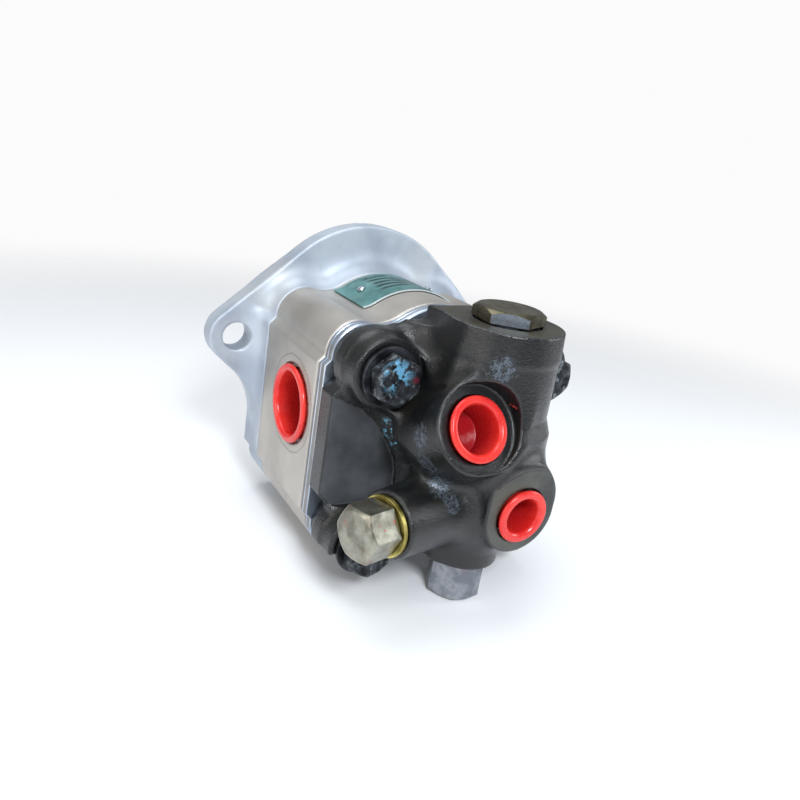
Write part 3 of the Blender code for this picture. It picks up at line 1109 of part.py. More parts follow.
def build_caps(upper_face, upper_out):
    suction = Vector((-SIDE_X, BODY_REAR + SUCTION_BACK, MIDDLE_Z + SUCTION_RISE))
    build_cap("suction_port_cap", suction, (-1, 0, 0), SUCTION_CAP_RING, SUCTION_RADIUS, SUCTION_CAP_DEPTH)
    build_cap("upper_port_cap", upper_face, upper_out, UPPER_CAP_RING, UPPER_PORT_RADIUS, PORT_CAP_DEPTH)
    lower = Vector((LOWER_PORT_X, LOWER_PORT_FACE, LOWER_PORT_Z))
    build_cap("lower_port_cap", lower, (0, -1, 0), LOWER_CAP_RING, LOWER_PORT_RADIUS, PORT_CAP_DEPTH)


build_flange()
build_body()
build_seal_plate()
build_gears()
build_bearings()
build_seals()
build_fasteners()
build_nameplate()
upper_face, upper_out, left_root, left_out, washer_seat = build_block()
build_plugs(left_root, left_out, washer_seat)
build_valve()
build_caps(upper_face, upper_out)
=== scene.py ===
import json
import math

import bmesh
import bpy
import numpy as np
from mathutils import Matrix, Vector


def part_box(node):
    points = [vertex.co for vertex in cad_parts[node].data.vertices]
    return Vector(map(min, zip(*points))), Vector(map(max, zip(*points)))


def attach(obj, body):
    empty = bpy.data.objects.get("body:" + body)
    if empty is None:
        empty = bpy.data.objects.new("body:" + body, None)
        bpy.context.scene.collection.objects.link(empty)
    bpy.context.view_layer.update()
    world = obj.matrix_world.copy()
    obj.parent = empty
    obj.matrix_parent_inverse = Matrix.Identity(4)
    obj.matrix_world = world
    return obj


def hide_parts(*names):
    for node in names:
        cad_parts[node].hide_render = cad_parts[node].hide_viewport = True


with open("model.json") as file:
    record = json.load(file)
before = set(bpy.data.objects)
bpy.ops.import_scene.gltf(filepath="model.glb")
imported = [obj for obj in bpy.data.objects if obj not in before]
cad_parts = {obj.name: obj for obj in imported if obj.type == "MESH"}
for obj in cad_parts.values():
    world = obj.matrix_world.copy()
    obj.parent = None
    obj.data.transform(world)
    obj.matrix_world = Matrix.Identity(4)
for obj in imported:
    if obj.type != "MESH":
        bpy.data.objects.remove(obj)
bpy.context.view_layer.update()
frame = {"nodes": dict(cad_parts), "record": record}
record = frame["record"]
print("stage: frame loaded")

# Places below are in millimetres in the pump's own frame: x to the right, y out along the shaft, z up.
# Its zero point is on the shaft axis in the flange's mounting face.
flangeSize = {"thick": 8.6, "disc": 45.6, "ear": 10.5, "holeX": 53.2, "holeR": 5.4, "pilotR": 41.275,
              "pilotHigh": 6.35, "neckEnd": -16.5, "neckStart": -1.0, "fillet": 9.0, "step": 0.7,
              "boltHoleR": 5.2}
shaftJoint = next(j for j in record["behaviour"]["joints"] if j["name"] == "shaft_spin")
flangeTop = np.array(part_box("mounting_flange")[1]) * 1000
pumpZero = np.array([shaftJoint["pos_m"][0] * 1000, flangeTop[1] - flangeSize["pilotHigh"],
                     shaftJoint["pos_m"][2] * 1000])


def toWorld(points):
    return (np.asarray(points, float) + pumpZero) / 1000


# Plain number helpers for outlines, as arrays of (x, z)

def arcPoints(cx, cz, radius, start, end, steps):
    # points on a circle: centre plus radius times (cos, sin) of an evenly spaced angle
    angle = np.radians(np.linspace(start, end, steps + 1))
    return np.column_stack([cx + radius * np.cos(angle), cz + radius * np.sin(angle)])


def unit(vector):
    vector = np.asarray(vector, float)
    return vector / np.linalg.norm(vector)


section = {"mainR": 28.8, "centres": 38.0, "boltX": 30.4, "boltRise": 30.15, "lobeR": 11.05,
           "hollowR": 14.0, "sideX": 43.9, "sideRise": 27.0}
middleZ = -section["centres"] / 2
boltPlaces = [(x, middleZ + z) for x in (-section["boltX"], section["boltX"])
              for z in (section["boltRise"], -section["boltRise"])]


def bodyOutline(grow=0.0, side=None):
    # one quarter from tangent arcs, then mirrored: main arc, hollow arc, bolt lobe, side flat
    s = section
    side = s["sideX"] if side is None else side
    bolt = np.array([s["boltX"], middleZ + s["boltRise"]])
    main, lobe, hollow = s["mainR"] + grow, s["lobeR"] + grow, s["hollowR"] - grow
    gap = np.linalg.norm(bolt)
    run = (gap ** 2 + (main + hollow) ** 2 - (lobe + hollow) ** 2) / (2 * gap)
    rise = math.sqrt((main + hollow) ** 2 - run ** 2)
    across = bolt / gap
    centre = across * run + np.array([-across[1], across[0]]) * rise
    mainEnd = math.degrees(math.atan2(centre[1], centre[0]))
    lobeStart = math.degrees(math.atan2(centre[1] - bolt[1], centre[0] - bolt[0]))
    step = side + grow - bolt[0] - lobe
    top = middleZ + s["sideRise"]
    quarter = np.vstack([
        arcPoints(0, 0, main, 90, mainEnd, 16),
        arcPoints(*centre, hollow, mainEnd + 180, lobeStart + 180, 10)[1:],
        arcPoints(*bolt, lobe, lobeStart, 0, 16)[1:], [[bolt[0] + lobe, top + step], [side + grow, top]]])
    lower = quarter[::-1] * [1, -1] + [0, 2 * middleZ]
    right = np.vstack([quarter, lower])
    left = right[::-1] * [-1, 1]
    return np.vstack([right, left[1:-1]])


def flangeOutline(grow=0.0):
    # the hull of a disc and two ears: four arcs that meet along their common tangents
    f = flangeSize
    lean = math.degrees(math.acos((f["disc"] - f["ear"]) / f["holeX"]))
    return np.vstack([
        arcPoints(f["holeX"], 0, f["ear"] + grow, -lean, lean, 16),
        arcPoints(0, 0, f["disc"] + grow, lean, 180 - lean, 30)[1:-1],
        arcPoints(-f["holeX"], 0, f["ear"] + grow, 180 - lean, 180 + lean, 16),
        arcPoints(0, 0, f["disc"] + grow, 180 + lean, 360 - lean, 30)[1:-1]])


# Signed distance fields: negative inside. Each takes p = (x, y, z), arrays that broadcast.

def softMin(a, b, k):
    # the smaller of two fields, blended over k where they are close
    near = np.maximum(k - np.abs(a - b), 0) / k
    return np.minimum(a, b) - near * near * k / 4


def softMax(a, b, k):
    return -softMin(-a, -b, k)


def between(value, low, high):
    # distance outside the range from low to high
    return np.abs(value - (low + high) / 2) - abs(high - low) / 2


def barField(p, start, end, radius, endRadius=None, k=0.8):
    # a round bar from start to end: the larger of radial and end distance
    start, end = np.asarray(start, float), np.asarray(end, float)
    axis = unit(end - start)
    length = np.linalg.norm(end - start)
    rel = [p[i] - start[i] for i in range(3)]
    along = rel[0] * axis[0] + rel[1] * axis[1] + rel[2] * axis[2]
    square = rel[0] ** 2 + rel[1] ** 2 + rel[2] ** 2 - along ** 2
    radial = np.sqrt(np.maximum(square, 0))
    wide = radius if endRadius is None else radius + (endRadius - radius) * np.clip(along / length, 0, 1)
    return softMax(radial - wide, between(along, 0, length), k)


def outlineField(x, z, points):
    # distance to a polygon's nearest side, negative where the crossing count is odd
    best = np.full(np.broadcast(x, z).shape, 1e9)
    inside = np.zeros(best.shape, bool)
    for (ax, az), (bx, bz) in zip(points, np.roll(points, -1, axis=0)):
        ex, ez = bx - ax, bz - az
        wx, wz = x - ax, z - az
        share = np.clip((wx * ex + wz * ez) / (ex * ex + ez * ez), 0, 1)
        best = np.minimum(best, (wx - ex * share) ** 2 + (wz - ez * share) ** 2)
        crosses = (az > z) != (bz > z)
        if ez:
            inside ^= crosses & (wx < ex * wz / ez)
    return np.where(inside, -1, 1) * np.sqrt(best)


def gridMesh(field, low, high, step):
    # surface nets: one point in each cell that the surface crosses, at the mean of its edge
    # crossings, and one quad round each grid edge that the surface crosses
    axes = [np.arange(lo - 1.5 * step, hi + 2.5 * step, step) for lo, hi in zip(low, high)]
    grid = np.meshgrid(*axes, indexing="ij", sparse=True)
    values = np.broadcast_to(field(grid), [len(a) for a in axes]).astype(np.float32)
    shape = np.array(values.shape) - 1
    total = np.zeros(tuple(shape) + (3,), np.float32)
    count = np.zeros(tuple(shape), np.float32)
    inside = values < 0
    for axis in range(3):
        others = [i for i in range(3) if i != axis]
        for da in (0, 1):
            for db in (0, 1):
                offset = [0, 0, 0]
                offset[others[0]], offset[others[1]] = da, db
                first = tuple(slice(o, o + n) for o, n in zip(offset, shape))
                offset[axis] = 1
                second = tuple(slice(o, o + n) for o, n in zip(offset, shape))
                cross = inside[first] != inside[second]
                a, b = values[first], values[second]
                share = np.where(cross, a / np.where(cross, a - b, 1), 0)
                total[..., axis] += np.where(cross, share, 0)
                total[..., others[0]] += cross * da
                total[..., others[1]] += cross * db
                count += cross
    active = count > 0
    number = np.full(tuple(shape), -1, np.int64)
    number[active] = np.arange(active.sum())
    cell = np.argwhere(active)
    points = cell + total[active] / count[active][:, None]
    points = points * step + np.array([a[0] for a in axes])
    quads = []
    for axis in range(3):
        u, v = [(1, 2), (2, 0), (0, 1)][axis]
        head = [slice(None)] * 3
        tail = [slice(None)] * 3
        head[axis], tail[axis] = slice(0, -1), slice(1, None)
        flip = inside[tuple(head)].astype(np.int8) - inside[tuple(tail)].astype(np.int8)
        place = np.argwhere(flip)
        sign = flip[tuple(place.T)]
        du, dv = np.eye(3, dtype=int)[u], np.eye(3, dtype=int)[v]
        ring = [number[tuple((place - shift).T)] for shift in (du + dv, dv, 0 * du, du)]
        quad = np.column_stack(ring)
        quads.append(np.where(sign[:, None] > 0, quad, quad[:, ::-1]))
    return points, np.vstack(quads)


def settle(points, field, step, rounds=3):
    # move each point on to the surface, along the field's slope by the field's value
    for _ in range(rounds):
        value = field(points.T)
        slope = np.zeros_like(points)
        for axis in range(3):
            ahead = points.copy()
            ahead[:, axis] += 0.05
            slope[:, axis] = (field(ahead.T) - value) / 0.05
        square = np.maximum((slope ** 2).sum(axis=1), 0.2)
        move = np.clip(value / square, -step / 2, step / 2)
        points = points - slope * move[:, None]
    return points


# Pieces

def makeMesh(name, points, faces):
    mesh = bpy.data.meshes.new(name)
    mesh.from_pydata(toWorld(points).tolist(), [], [list(map(int, face)) for face in faces])
    mesh.validate()
    mesh.shade_smooth()
    obj = bpy.data.objects.new(name, mesh)
    bpy.context.scene.collection.objects.link(obj)
    return obj


def weld(obj, sharpAngle):
    # merge doubled points, turn the faces outwards and keep the edges above the angle sharp
    bm = bmesh.new()
    bm.from_mesh(obj.data)
    bmesh.ops.remove_doubles(bm, verts=bm.verts, dist=1e-7)
    bmesh.ops.dissolve_degenerate(bm, dist=1e-8, edges=bm.edges)
    bmesh.ops.recalc_face_normals(bm, faces=bm.faces)
    bm.to_mesh(obj.data)
    bm.free()
    obj.data.shade_smooth()
    obj.data.set_sharp_from_angle(angle=math.radians(sharpAngle))
    return obj


def addMask(obj, name, values):
    layer = obj.data.attributes.new(name, "FLOAT", "POINT")
    layer.data.foreach_set("value", np.asarray(values, np.float32))


def setPiece(obj, body, slot, material, *nodes):
    obj.data.materials.clear()
    obj.data.materials.append(material)
    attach(obj, body)
    if nodes:
        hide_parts(*nodes)
    return obj


def placed(points, start, direction, spin=0.0):
    # local points with their axis along z, turned so that z runs along the direction from start
    turn = Vector(direction).to_track_quat("Z", "Y").to_matrix() @ Matrix.Rotation(spin, 3, "Z")
    return np.asarray(points) @ np.array(turn).T + np.asarray(start, float)


def roundCorners(profile, radius, steps=4):
    # each inner corner becomes a short curve: a quadratic blend of the points before, at and after it
    profile = np.asarray(profile, float)
    out = [profile[0]]
    for before, corner, after in zip(profile, profile[1:], profile[2:]):
        back, ahead = before - corner, after - corner
        reach = min(radius, np.linalg.norm(back) * 0.45, np.linalg.norm(ahead) * 0.45)
        start, end = corner + unit(back) * reach, corner + unit(ahead) * reach
        t = np.linspace(0, 1, steps + 1)[:, None]
        out.extend((1 - t) ** 2 * start + 2 * t * (1 - t) * corner + t ** 2 * end)
    out.append(profile[-1])
    return np.array(out)


def gridFaces(rows, columns, closedRows=False):
    # quads between neighbouring rows of a grid whose columns wrap round
    r = np.arange(rows if closedRows else rows - 1)
    c = np.arange(columns)
    r, c = np.meshgrid(r, c, indexing="ij")
    nextRow, nextColumn = (r + 1) % rows, (c + 1) % columns
    quads = np.stack([r * columns + c, nextRow * columns + c, nextRow * columns + nextColumn,
                      r * columns + nextColumn], axis=-1)
    return quads.reshape(-1, 4)


def turnedPiece(name, profile, start, direction, steps=96, closed=False, angle=30):
    # profile of (radius, height) swept round the axis: x = r cos a, y = r sin a, z = h
    profile = np.asarray(profile, float)
    turn = np.linspace(0, 2 * math.pi, steps, endpoint=False)
    ring = np.stack([np.cos(turn), np.sin(turn)], axis=-1)
    points = np.concatenate([profile[:, None, :1] * ring[None], np.broadcast_to(
        profile[:, None, 1:], (len(profile), steps, 1))], axis=2).reshape(-1, 3)
    faces = gridFaces(len(profile), steps, closed)
    return weld(makeMesh(name, placed(points, start, direction), faces), angle)


def hexPiece(name, size, start, direction, degrees):
    # radius at angle a is (flats / 2) / cos(a folded into one side), with softened corners;
    # the chamfer is a 30 degree cone that takes the corners off. The shank below it is (radius,
    # length), and two more values add a bore from its end: (bore radius, bore depth)
    flats, height, chamfer, dish, shank = (size[key] for key in ("flats", "height", "chamfer", "dish", "shank"))
    steps = 144
    turn = np.linspace(0, 2 * math.pi, steps, endpoint=False)
    folded = (turn + math.pi / 6) % (math.pi / 3) - math.pi / 6
    outline = flats / 2 / np.cos(folded)
    outline = -softMin(-outline, -np.full(steps, flats / 2), 0.02)
    outline = np.minimum(outline, flats / 2 / math.cos(math.pi / 6) * 0.993)
    face = flats / 2 * chamfer
    wallTop = height - (outline - face) * math.tan(math.radians(30))
    ring = np.stack([np.cos(turn), np.sin(turn)], axis=-1)
    rows = []

    def row(radius, level):
        rows.append(np.column_stack([ring * np.broadcast_to(radius, steps)[:, None],
                                     np.broadcast_to(level, steps)]))

    foot = 0.25
    if len(shank) > 2:
        row(0, shank[3] - shank[1])
        row(shank[2], shank[3] - shank[1])
        row(shank[2], -shank[1])
    else:
        row(0, -shank[1])
    row(shank[0] - 0.4, -shank[1])
    row(shank[0], -shank[1] + 0.4)
    row(shank[0], 0)
    row(outline - foot, 0)
    row(outline, foot)
    row(outline, wallTop - 0.12)
    row(outline - 0.12, wallTop)
    row(face + 0.25, height - 0.12)
    row(face - 0.1, height)
    row(face * 0.55, height - dish)
    row(0, height - dish)
    points = np.concatenate(rows)
    placedPoints = placed(points, start, direction, math.radians(degrees))
    return weld(makeMesh(name, placedPoints, gridFaces(len(rows), steps)), 24)


# Shader maths: a small class that turns expressions into Math nodes

class Value:
    def __init__(self, maker, socket):
        self.maker, self.socket = maker, socket

    def __add__(self, other):
        return self.maker.math("ADD", self, other)

    def __sub__(self, other):
        return self.maker.math("SUBTRACT", self, other)

    def __mul__(self, other):
        return self.maker.math("MULTIPLY", self, other)

    def __truediv__(self, other):
        return self.maker.math("DIVIDE", self, other)

    def __rsub__(self, other):
        return self.maker.math("SUBTRACT", other, self)

    __radd__ = __add__
    __rmul__ = __mul__


class Maker:
    def __init__(self, name):
        self.material = bpy.data.materials.new(name)
        self.material.use_nodes = True
        self.tree = self.material.node_tree
        self.shader = self.tree.nodes["Principled BSDF"]
        self.coords = self.node("ShaderNodeTexCoord").outputs["Object"]

    def node(self, kind, settings=None, **inputs):
        made = self.tree.nodes.new(kind)
        for key, value in (settings or {}).items():
            setattr(made, key, value)
        for key, value in inputs.items():
            socket = made.inputs[int(key[1:])] if key[0] == "i" and key[1:].isdigit() else made.inputs[key]
            self.feed(socket, value)
        return made

    def feed(self, socket, value):
        if isinstance(value, Value):
            value = value.socket
        if isinstance(value, bpy.types.NodeSocket):
            self.tree.links.new(value, socket)
        else:
            socket.default_value = value

    def math(self, operation, a, b=0.0):
        return Value(self, self.node("ShaderNodeMath", {"operation": operation}, i0=a, i1=b).outputs[0])

    def ramp(self, value, low, high):
        # 0 below low, 1 above high, with a smooth step between
        made = self.node("ShaderNodeMapRange", {"interpolation_type": "SMOOTHSTEP"}, Value=value)
        made.inputs["From Min"].default_value = low
        made.inputs["From Max"].default_value = high
        return Value(self, made.outputs["Result"])

    def noise(self, scale, detail, stretch=None, offset=(0, 0, 0)):
        coords = self.coords
        if stretch or any(offset):
            place = self.node("ShaderNodeMapping", Vector=coords)
            place.inputs["Scale"].default_value = stretch or (1, 1, 1)
            place.inputs["Location"].default_value = offset
            coords = place.outputs[0]
        made = self.node("ShaderNodeTexNoise", Vector=coords, Scale=scale, Detail=detail, Roughness=0.55)
        return Value(self, made.outputs["Fac"])

    def speckle(self, scale):
        made = self.node("ShaderNodeTexVoronoi", Vector=self.coords, Scale=scale)
        return Value(self, made.outputs["Distance"])

    def axisOf(self, index):
        split = self.node("ShaderNodeSeparateXYZ", Vector=self.coords)
        return Value(self, split.outputs[index])

    def facing(self, direction):
        # how far the surface faces the direction, from its own normal
        normal = self.node("ShaderNodeNewGeometry").outputs["Normal"]
        made = self.node("ShaderNodeVectorMath", {"operation": "DOT_PRODUCT"}, i0=normal, i1=direction)
        return Value(self, made.outputs["Value"])

    def mask(self, name):
        return Value(self, self.node("ShaderNodeAttribute", {"attribute_name": name}).outputs["Fac"])

    def near(self, centre, radius):
        # 1 at a point of the pump, falling to 0 at the radius; both in millimetres
        place = tuple(toWorld(centre))
        made = self.node("ShaderNodeVectorMath", {"operation": "DISTANCE"}, i0=self.coords, i1=place)
        return self.ramp(Value(self, made.outputs["Value"]), radius / 1000, radius * 0.35 / 1000)

    def mix(self, factor, a, b):
        made = self.node("ShaderNodeMix", {"data_type": "RGBA"})
        self.feed(made.inputs[0], factor)
        for socket, colour in ((made.inputs[6], a), (made.inputs[7], b)):
            self.feed(socket, colour if isinstance(colour, bpy.types.NodeSocket) else (*colour, 1))
        return made.outputs[2]

    def bump(self, height, distance, strength):
        made = self.node("ShaderNodeBump", Height=height, Distance=distance, Strength=strength)
        return made.outputs["Normal"]

    def finish(self, colour, roughness, metallic=0.0, normal=None, **others):
        self.feed(self.shader.inputs["Base Color"], colour)
        self.feed(self.shader.inputs["Roughness"], roughness)
        self.feed(self.shader.inputs["Metallic"], metallic)
        if normal is not None:
            self.feed(self.shader.inputs["Normal"], normal)
        for key, value in others.items():
            self.shader.inputs[key.replace("_", " ")].default_value = value
        return self.material


def rgb(code):
    # a screen colour such as 4a4636 as linear light
    parts = [int(code[i:i + 2], 16) / 255 for i in (0, 2, 4)]
    return tuple(c / 12.92 if c <= 0.04045 else ((c + 0.055) / 1.055) ** 2.4 for c in parts)


# Materials. They take their places from three features: two ports and the nameplate.

lowerFace = np.array([8.3, -114.6, -26.1])
port = {"y": -44.6, "z": -13.3, "radius": 12.5, "deep": 16.5, "spotR": 17.5}
plate = {"left": -21.2, "right": 15.0, "front": -20.6, "back": -45.8, "gap": 0.35, "foil": 0.4}


def castAluminium():
    m = Maker("castAluminium")
    cloud, grain, pits = m.noise(40, 3), m.noise(1300, 2), m.speckle(1500)
    tone = m.mix(m.ramp(cloud, 0.35, 0.65), rgb("9da6b3"), rgb("b9c1cb"))
    stain = m.ramp(m.noise(120, 5, offset=(3, 1, 2)), 0.6, 0.78) * 0.3
    tone = m.mix(stain, tone, rgb("7c8494"))
    warm = m.ramp(m.noise(30, 2, offset=(8, 1, 2)), 0.5, 0.7) * 0.35
    tone = m.mix(warm, tone, rgb("b9b6ae"))
    rough = 0.46 + cloud * 0.1
    normal = m.bump(grain + pits * 0.4, 0.0001, 0.3)
    return m.finish(tone, rough, 0.45, normal, Specular_IOR_Level=0.5)


def bodyAluminium():
    m = Maker("bodyAluminium")
    lines = m.noise(1, 3, stretch=(1500, 9, 1500))
    cloud = m.noise(36, 3)
    fine = m.noise(1600, 2)
    tone = m.mix(m.ramp(cloud, 0.3, 0.7), rgb("a5a09a"), rgb("bcb7b0"))
    tone = m.mix(m.ramp(lines, 0.5, 0.75) * 0.16, tone, rgb("d2cbc2"))
    tone = m.mix(m.ramp(m.noise(110, 5, offset=(5, 2, 7)), 0.62, 0.75) * 0.25, tone, rgb("7f776e"))
    dark = m.near((-44, port["y"], port["z"]), 21) * m.ramp(m.noise(150, 3), 0.4, 0.6) * 0.25
    tone = m.mix(dark, tone, rgb("8b8680"))
    spot = m.mask("spotFace")
    tone = m.mix(spot * (1 - spot) * 2.4, tone, rgb("6e6862"))
    rough = 0.34 + lines * 0.08 + cloud * 0.08 + spot * 0.05
    normal = m.bump(lines * 0.5 + fine * 0.4, 0.00008, 0.3)
    return m.finish(tone, rough, 0.7, normal, Specular_IOR_Level=0.5)


def plateAluminium():
    m = Maker("plateAluminium")
    bands = m.noise(1, 2, stretch=(30, 5200, 30))
    cloud = m.noise(70, 3)
    side = m.ramp(m.facing((-1, 0, 0)), 0.9, 0.98) + m.ramp(m.facing((1, 0, 0)), 0.9, 0.98)
    tone = m.mix(m.ramp(cloud, 0.3, 0.7), rgb("a2adbd"), rgb("cfd8e4"))
    tone = m.mix(side * 0.85, tone, rgb("8a857e"))
    rough = 0.22 + bands * 0.2 + side * 0.2
    return m.finish(tone, rough, 0.9, m.bump(bands, 0.0001, 0.4))


def blackPaint():
    m = Maker("blackPaint")
    cut = m.mask("milled")
    topFace = m.ramp(m.facing((0, 0, 1)), 0.97, 0.995) * cut
    leftFace = m.ramp(m.facing((-1, 0, 0)), 0.97, 0.995) * cut
    portFace = m.mask("portFace")
    grain, coarse, cloud = m.noise(2300, 2), m.noise(760, 3), m.noise(50, 4)
    paint = m.mix(m.ramp(cloud, 0.35, 0.7), rgb("0b0c0d"), rgb("161616"))
    # painted light: paint facing upwards is lightened towards olive, as if lit from above
    upwardSheen = m.ramp(m.facing((0, 0, 1)), 0.2, 0.9) * m.ramp(m.noise(160, 4), 0.4, 0.62)
    paint = m.mix(upwardSheen * 0.3, paint, rgb("302d22"))
    # bare metal grains in the rough paint: they glint where the light is mirrored
    grains = m.ramp(m.speckle(1900), 0.24, 0.08) * m.ramp(m.noise(90, 2, offset=(1, 4, 2)), 0.4, 0.65)
    sparkle = grains * (1 - cut) * (1 - portFace)
    paint = m.mix(sparkle * 0.7, paint, rgb("5c6570"))
    # painted highlights: light, partly metallic grains below the top boss and along the web's ridge, where
    # glints show
    paintedGlints = m.near((-6.0, -107.9, 20.9), 6.5)
    for place, reach in (((-25.8, -101.2, -2.5), 6.5), ((-22.9, -103.2, -11.0), 6.5),
                         ((-17.8, -104.6, -18.0), 6.0), ((-14.5, -107.9, -23.3), 5.0)):
        paintedGlints = paintedGlints + m.near(place, reach)
    paintedGlints = m.math("MINIMUM", paintedGlints, 1.0) * (1 - cut)
    paintedGlints = paintedGlints * m.ramp(grain * 0.55 + coarse * 0.45 + paintedGlints * 0.16, 0.6, 0.74)
    paint = m.mix(paintedGlints * 0.45, paint, rgb("8592a1"))
    scratch = m.ramp(m.noise(1, 3, stretch=(200, 240, 1900)), 0.57, 0.63)
    smooth = m.mix(m.ramp(m.noise(90, 4), 0.4, 0.65), rgb("3a3c3f"), rgb("4a4c50"))
    colour = m.mix(cut, paint, smooth)
    colour = m.mix(topFace, colour, m.mix(m.ramp(cloud, 0.35, 0.65), rgb("211f18"), rgb("3a372b")))
    side = m.mix(scratch * 0.6, rgb("3d3a36"), rgb("726d65"))
    colour = m.mix(leftFace, colour, side)
    lighterPatch = m.near(lowerFace, 26) * m.ramp(cloud, 0.3, 0.6)
    colour = m.mix(portFace * 0.9, colour, m.mix(lighterPatch, rgb("101112"), rgb("45473f")))
    # dabs of sky-blue marking paint by the first bolt and red flecks beside the ports
    flecks = m.ramp(m.noise(520, 2, offset=(2, 2, 5)), 0.49, 0.55)
    blue = (m.near((-21.5, -78.5, -11.0), 4.0) + m.near((-19.0, -79.5, -15.5), 4.0)
            + m.near((-24.5, -78.5, -8.0), 2.5) * 0.7) * flecks
    colour = m.mix(m.math("MINIMUM", blue, 1.0), colour, rgb("78bddd"))
    redSpots = m.ramp(m.noise(700, 1, offset=(7, 3, 1)), 0.55, 0.6)
    red = (m.near((1.8, -108.6, 9.5), 2.6) + m.near((4.4, -107.6, -3.5), 2.4)) * redSpots
    colour = m.mix(m.math("MINIMUM", red, 1.0), colour, rgb("c4382c"))
    rough = 0.17 + coarse * 0.14 + cut * 0.22
    height = (grain * 0.9 + coarse * 0.7) * (1 - cut * 0.92)
    return m.finish(colour, rough, m.math("MAXIMUM", sparkle * 0.7, paintedGlints * 0.5),
                    m.bump(height, 0.00032, 0.6), Specular_IOR_Level=0.6)


def redPlastic():
    m = Maker("redPlastic")
    cloud, grain = m.noise(120, 3), m.noise(1500, 2)
    tone = m.mix(m.ramp(cloud, 0.35, 0.65), rgb("cf2421"), rgb("de352d"))
    tone = m.mix(m.ramp(grain, 0.6, 0.75) * 0.2, tone, rgb("f0604f"))
    # painted shade: the inside of each cup darkens towards its floor
    tone = m.mix(m.mask("deep"), tone, m.mix(cloud, rgb("8f0d14"), rgb("a8141b")))
    return m.finish(tone, 0.2 + grain * 0.12, 0.0, m.bump(grain, 0.0001, 0.25),
                    Subsurface_Weight=0.08, Subsurface_Radius=(0.003, 0.001, 0.001), Subsurface_Scale=0.5)


def plainSteel(name, dark, light, roughness, metallic=1.0):
    m = Maker(name)
    cloud, fine, streak = m.noise(130, 4), m.noise(1300, 2), m.noise(1, 2, stretch=(300, 2600, 300))
    tone = m.mix(m.ramp(cloud, 0.35, 0.68), rgb(dark), rgb(light))
    return m.finish(tone, roughness + fine * 0.16 + streak * 0.08, metallic,
                    m.bump(fine + streak * 0.6, 0.00012, 0.4))


def boltSteel():
    m = Maker("boltSteel")
    cloud, blotch, fine = m.noise(260, 5), m.noise(520, 4, offset=(1, 6, 2)), m.noise(1500, 2)
    tone = m.mix(m.ramp(cloud, 0.38, 0.62), rgb("17181b"), rgb("4a4d52"))
    tone = m.mix(m.ramp(blotch, 0.55, 0.66) * 0.7, tone, rgb("8d9498"))
    dab = m.ramp(m.noise(330, 3, offset=(3, 3, 3)), 0.5, 0.58)
    bolt = boltPlaces[0]
    spot = m.near((bolt[0] - 1.2, -92.6, bolt[1] + 2.2), 6.5) * dab
    tone = m.mix(spot, tone, rgb("7cc0e6"))
    redDot = m.near((bolt[0] + 5.2, -92.2, bolt[1] + 1.0), 1.6) * 0.8
    tone = m.mix(redDot, tone, rgb("7c2b3a"))
    return m.finish(tone, 0.3 + fine * 0.25, 0.7, m.bump(cloud + fine * 0.5, 0.0003, 0.5))


def tealFoil():
    m = Maker("tealFoil")
    # stripes run round the arc on the far half of the foil; the cut end at the back shows bright metal
    along = (m.axisOf(1) - float(toWorld((0, plate["back"], 0))[1])) * 1000.0
    length = plate["front"] - plate["back"]
    wave = m.math("SINE", along * 1.75 + m.noise(120, 2) * 1.4)
    printed = m.ramp(along, 5.5, 7.0) * m.ramp(along, length - 1.0, length - 2.0)
    printed = printed * m.ramp(m.axisOf(0), -0.0125, -0.0095)
    stripes = m.ramp(wave, -0.2, 0.4) * printed
    wear = m.ramp(m.noise(200, 4), 0.5, 0.68)
    fine = m.noise(1500, 2)
    tone = m.mix(m.ramp(m.noise(70, 3), 0.35, 0.65), rgb("3a6663"), rgb("588a88"))
    tone = m.mix(stripes * (1 - wear * 0.4), tone, rgb("10211f"))
    tone = m.mix(wear * 0.2, tone, rgb("90b0ae"))
    edge = m.ramp(along, 0.7, 0.35)
    tone = m.mix(edge, tone, rgb("c9d2d3"))
    return m.finish(tone, 0.32 + fine * 0.15, 0.3, m.bump(fine + stripes, 0.00006, 0.3))


def turnedFace(name, dark, light, centre, direction, flecks=0.0, sheenSide=None):
    # rings cut by a lathe: the distance from the axis drives fine grooves and a radial sheen
    m = Maker(name)
    place = tuple(toWorld(centre))
    rel = m.node("ShaderNodeVectorMath", {"operation": "SUBTRACT"}, i0=m.coords, i1=place).outputs[0]
    along = m.node("ShaderNodeVectorMath", {"operation": "DOT_PRODUCT"}, i0=rel, i1=tuple(direction))
    span = m.node("ShaderNodeVectorMath", {"operation": "LENGTH"}, i0=rel)
    depth = Value(m, along.outputs["Value"])
    reach = Value(m, span.outputs["Value"])
    radial = m.math("SQRT", m.math("MAXIMUM", reach * reach - depth * depth, 0.0))
    rings = m.math("SINE", radial * 14000.0)
    face = m.ramp(m.facing(tuple(direction)), 0.9, 0.98)
    cloud, fine = m.noise(180, 4), m.noise(1500, 2)
    tone = m.mix(m.ramp(cloud, 0.35, 0.65), rgb(dark), rgb(light))
    stain = m.ramp(m.noise(330, 4, offset=(2, 5, 1)), 0.55, 0.66)
    tone = m.mix(stain * 0.3, tone, rgb("5f5848"))
    if flecks:
        redSpots = m.ramp(m.noise(900, 2, offset=(6, 1, 1)), 0.6, 0.64) * m.ramp(m.noise(160, 2), 0.52, 0.6)
        tone = m.mix(redSpots * flecks, tone, rgb("b43a30"))
    if sheenSide:
        # painted reflection: the hex facet facing the given side is lightened to a pale blue-grey in fine
        # speckles
        lighterPatch = m.ramp(m.facing(sheenSide), 0.9, 0.97) * m.ramp(m.noise(2200, 2), 0.1, 0.7)
        tone = m.mix(lighterPatch * 0.85, tone, rgb("9aa6b6"))
    height = rings * face * 0.6 + fine * 0.7
    return m.finish(tone, 0.24 + fine * 0.16 + stain * 0.1, 0.9, m.bump(height, 0.00009, 0.5))


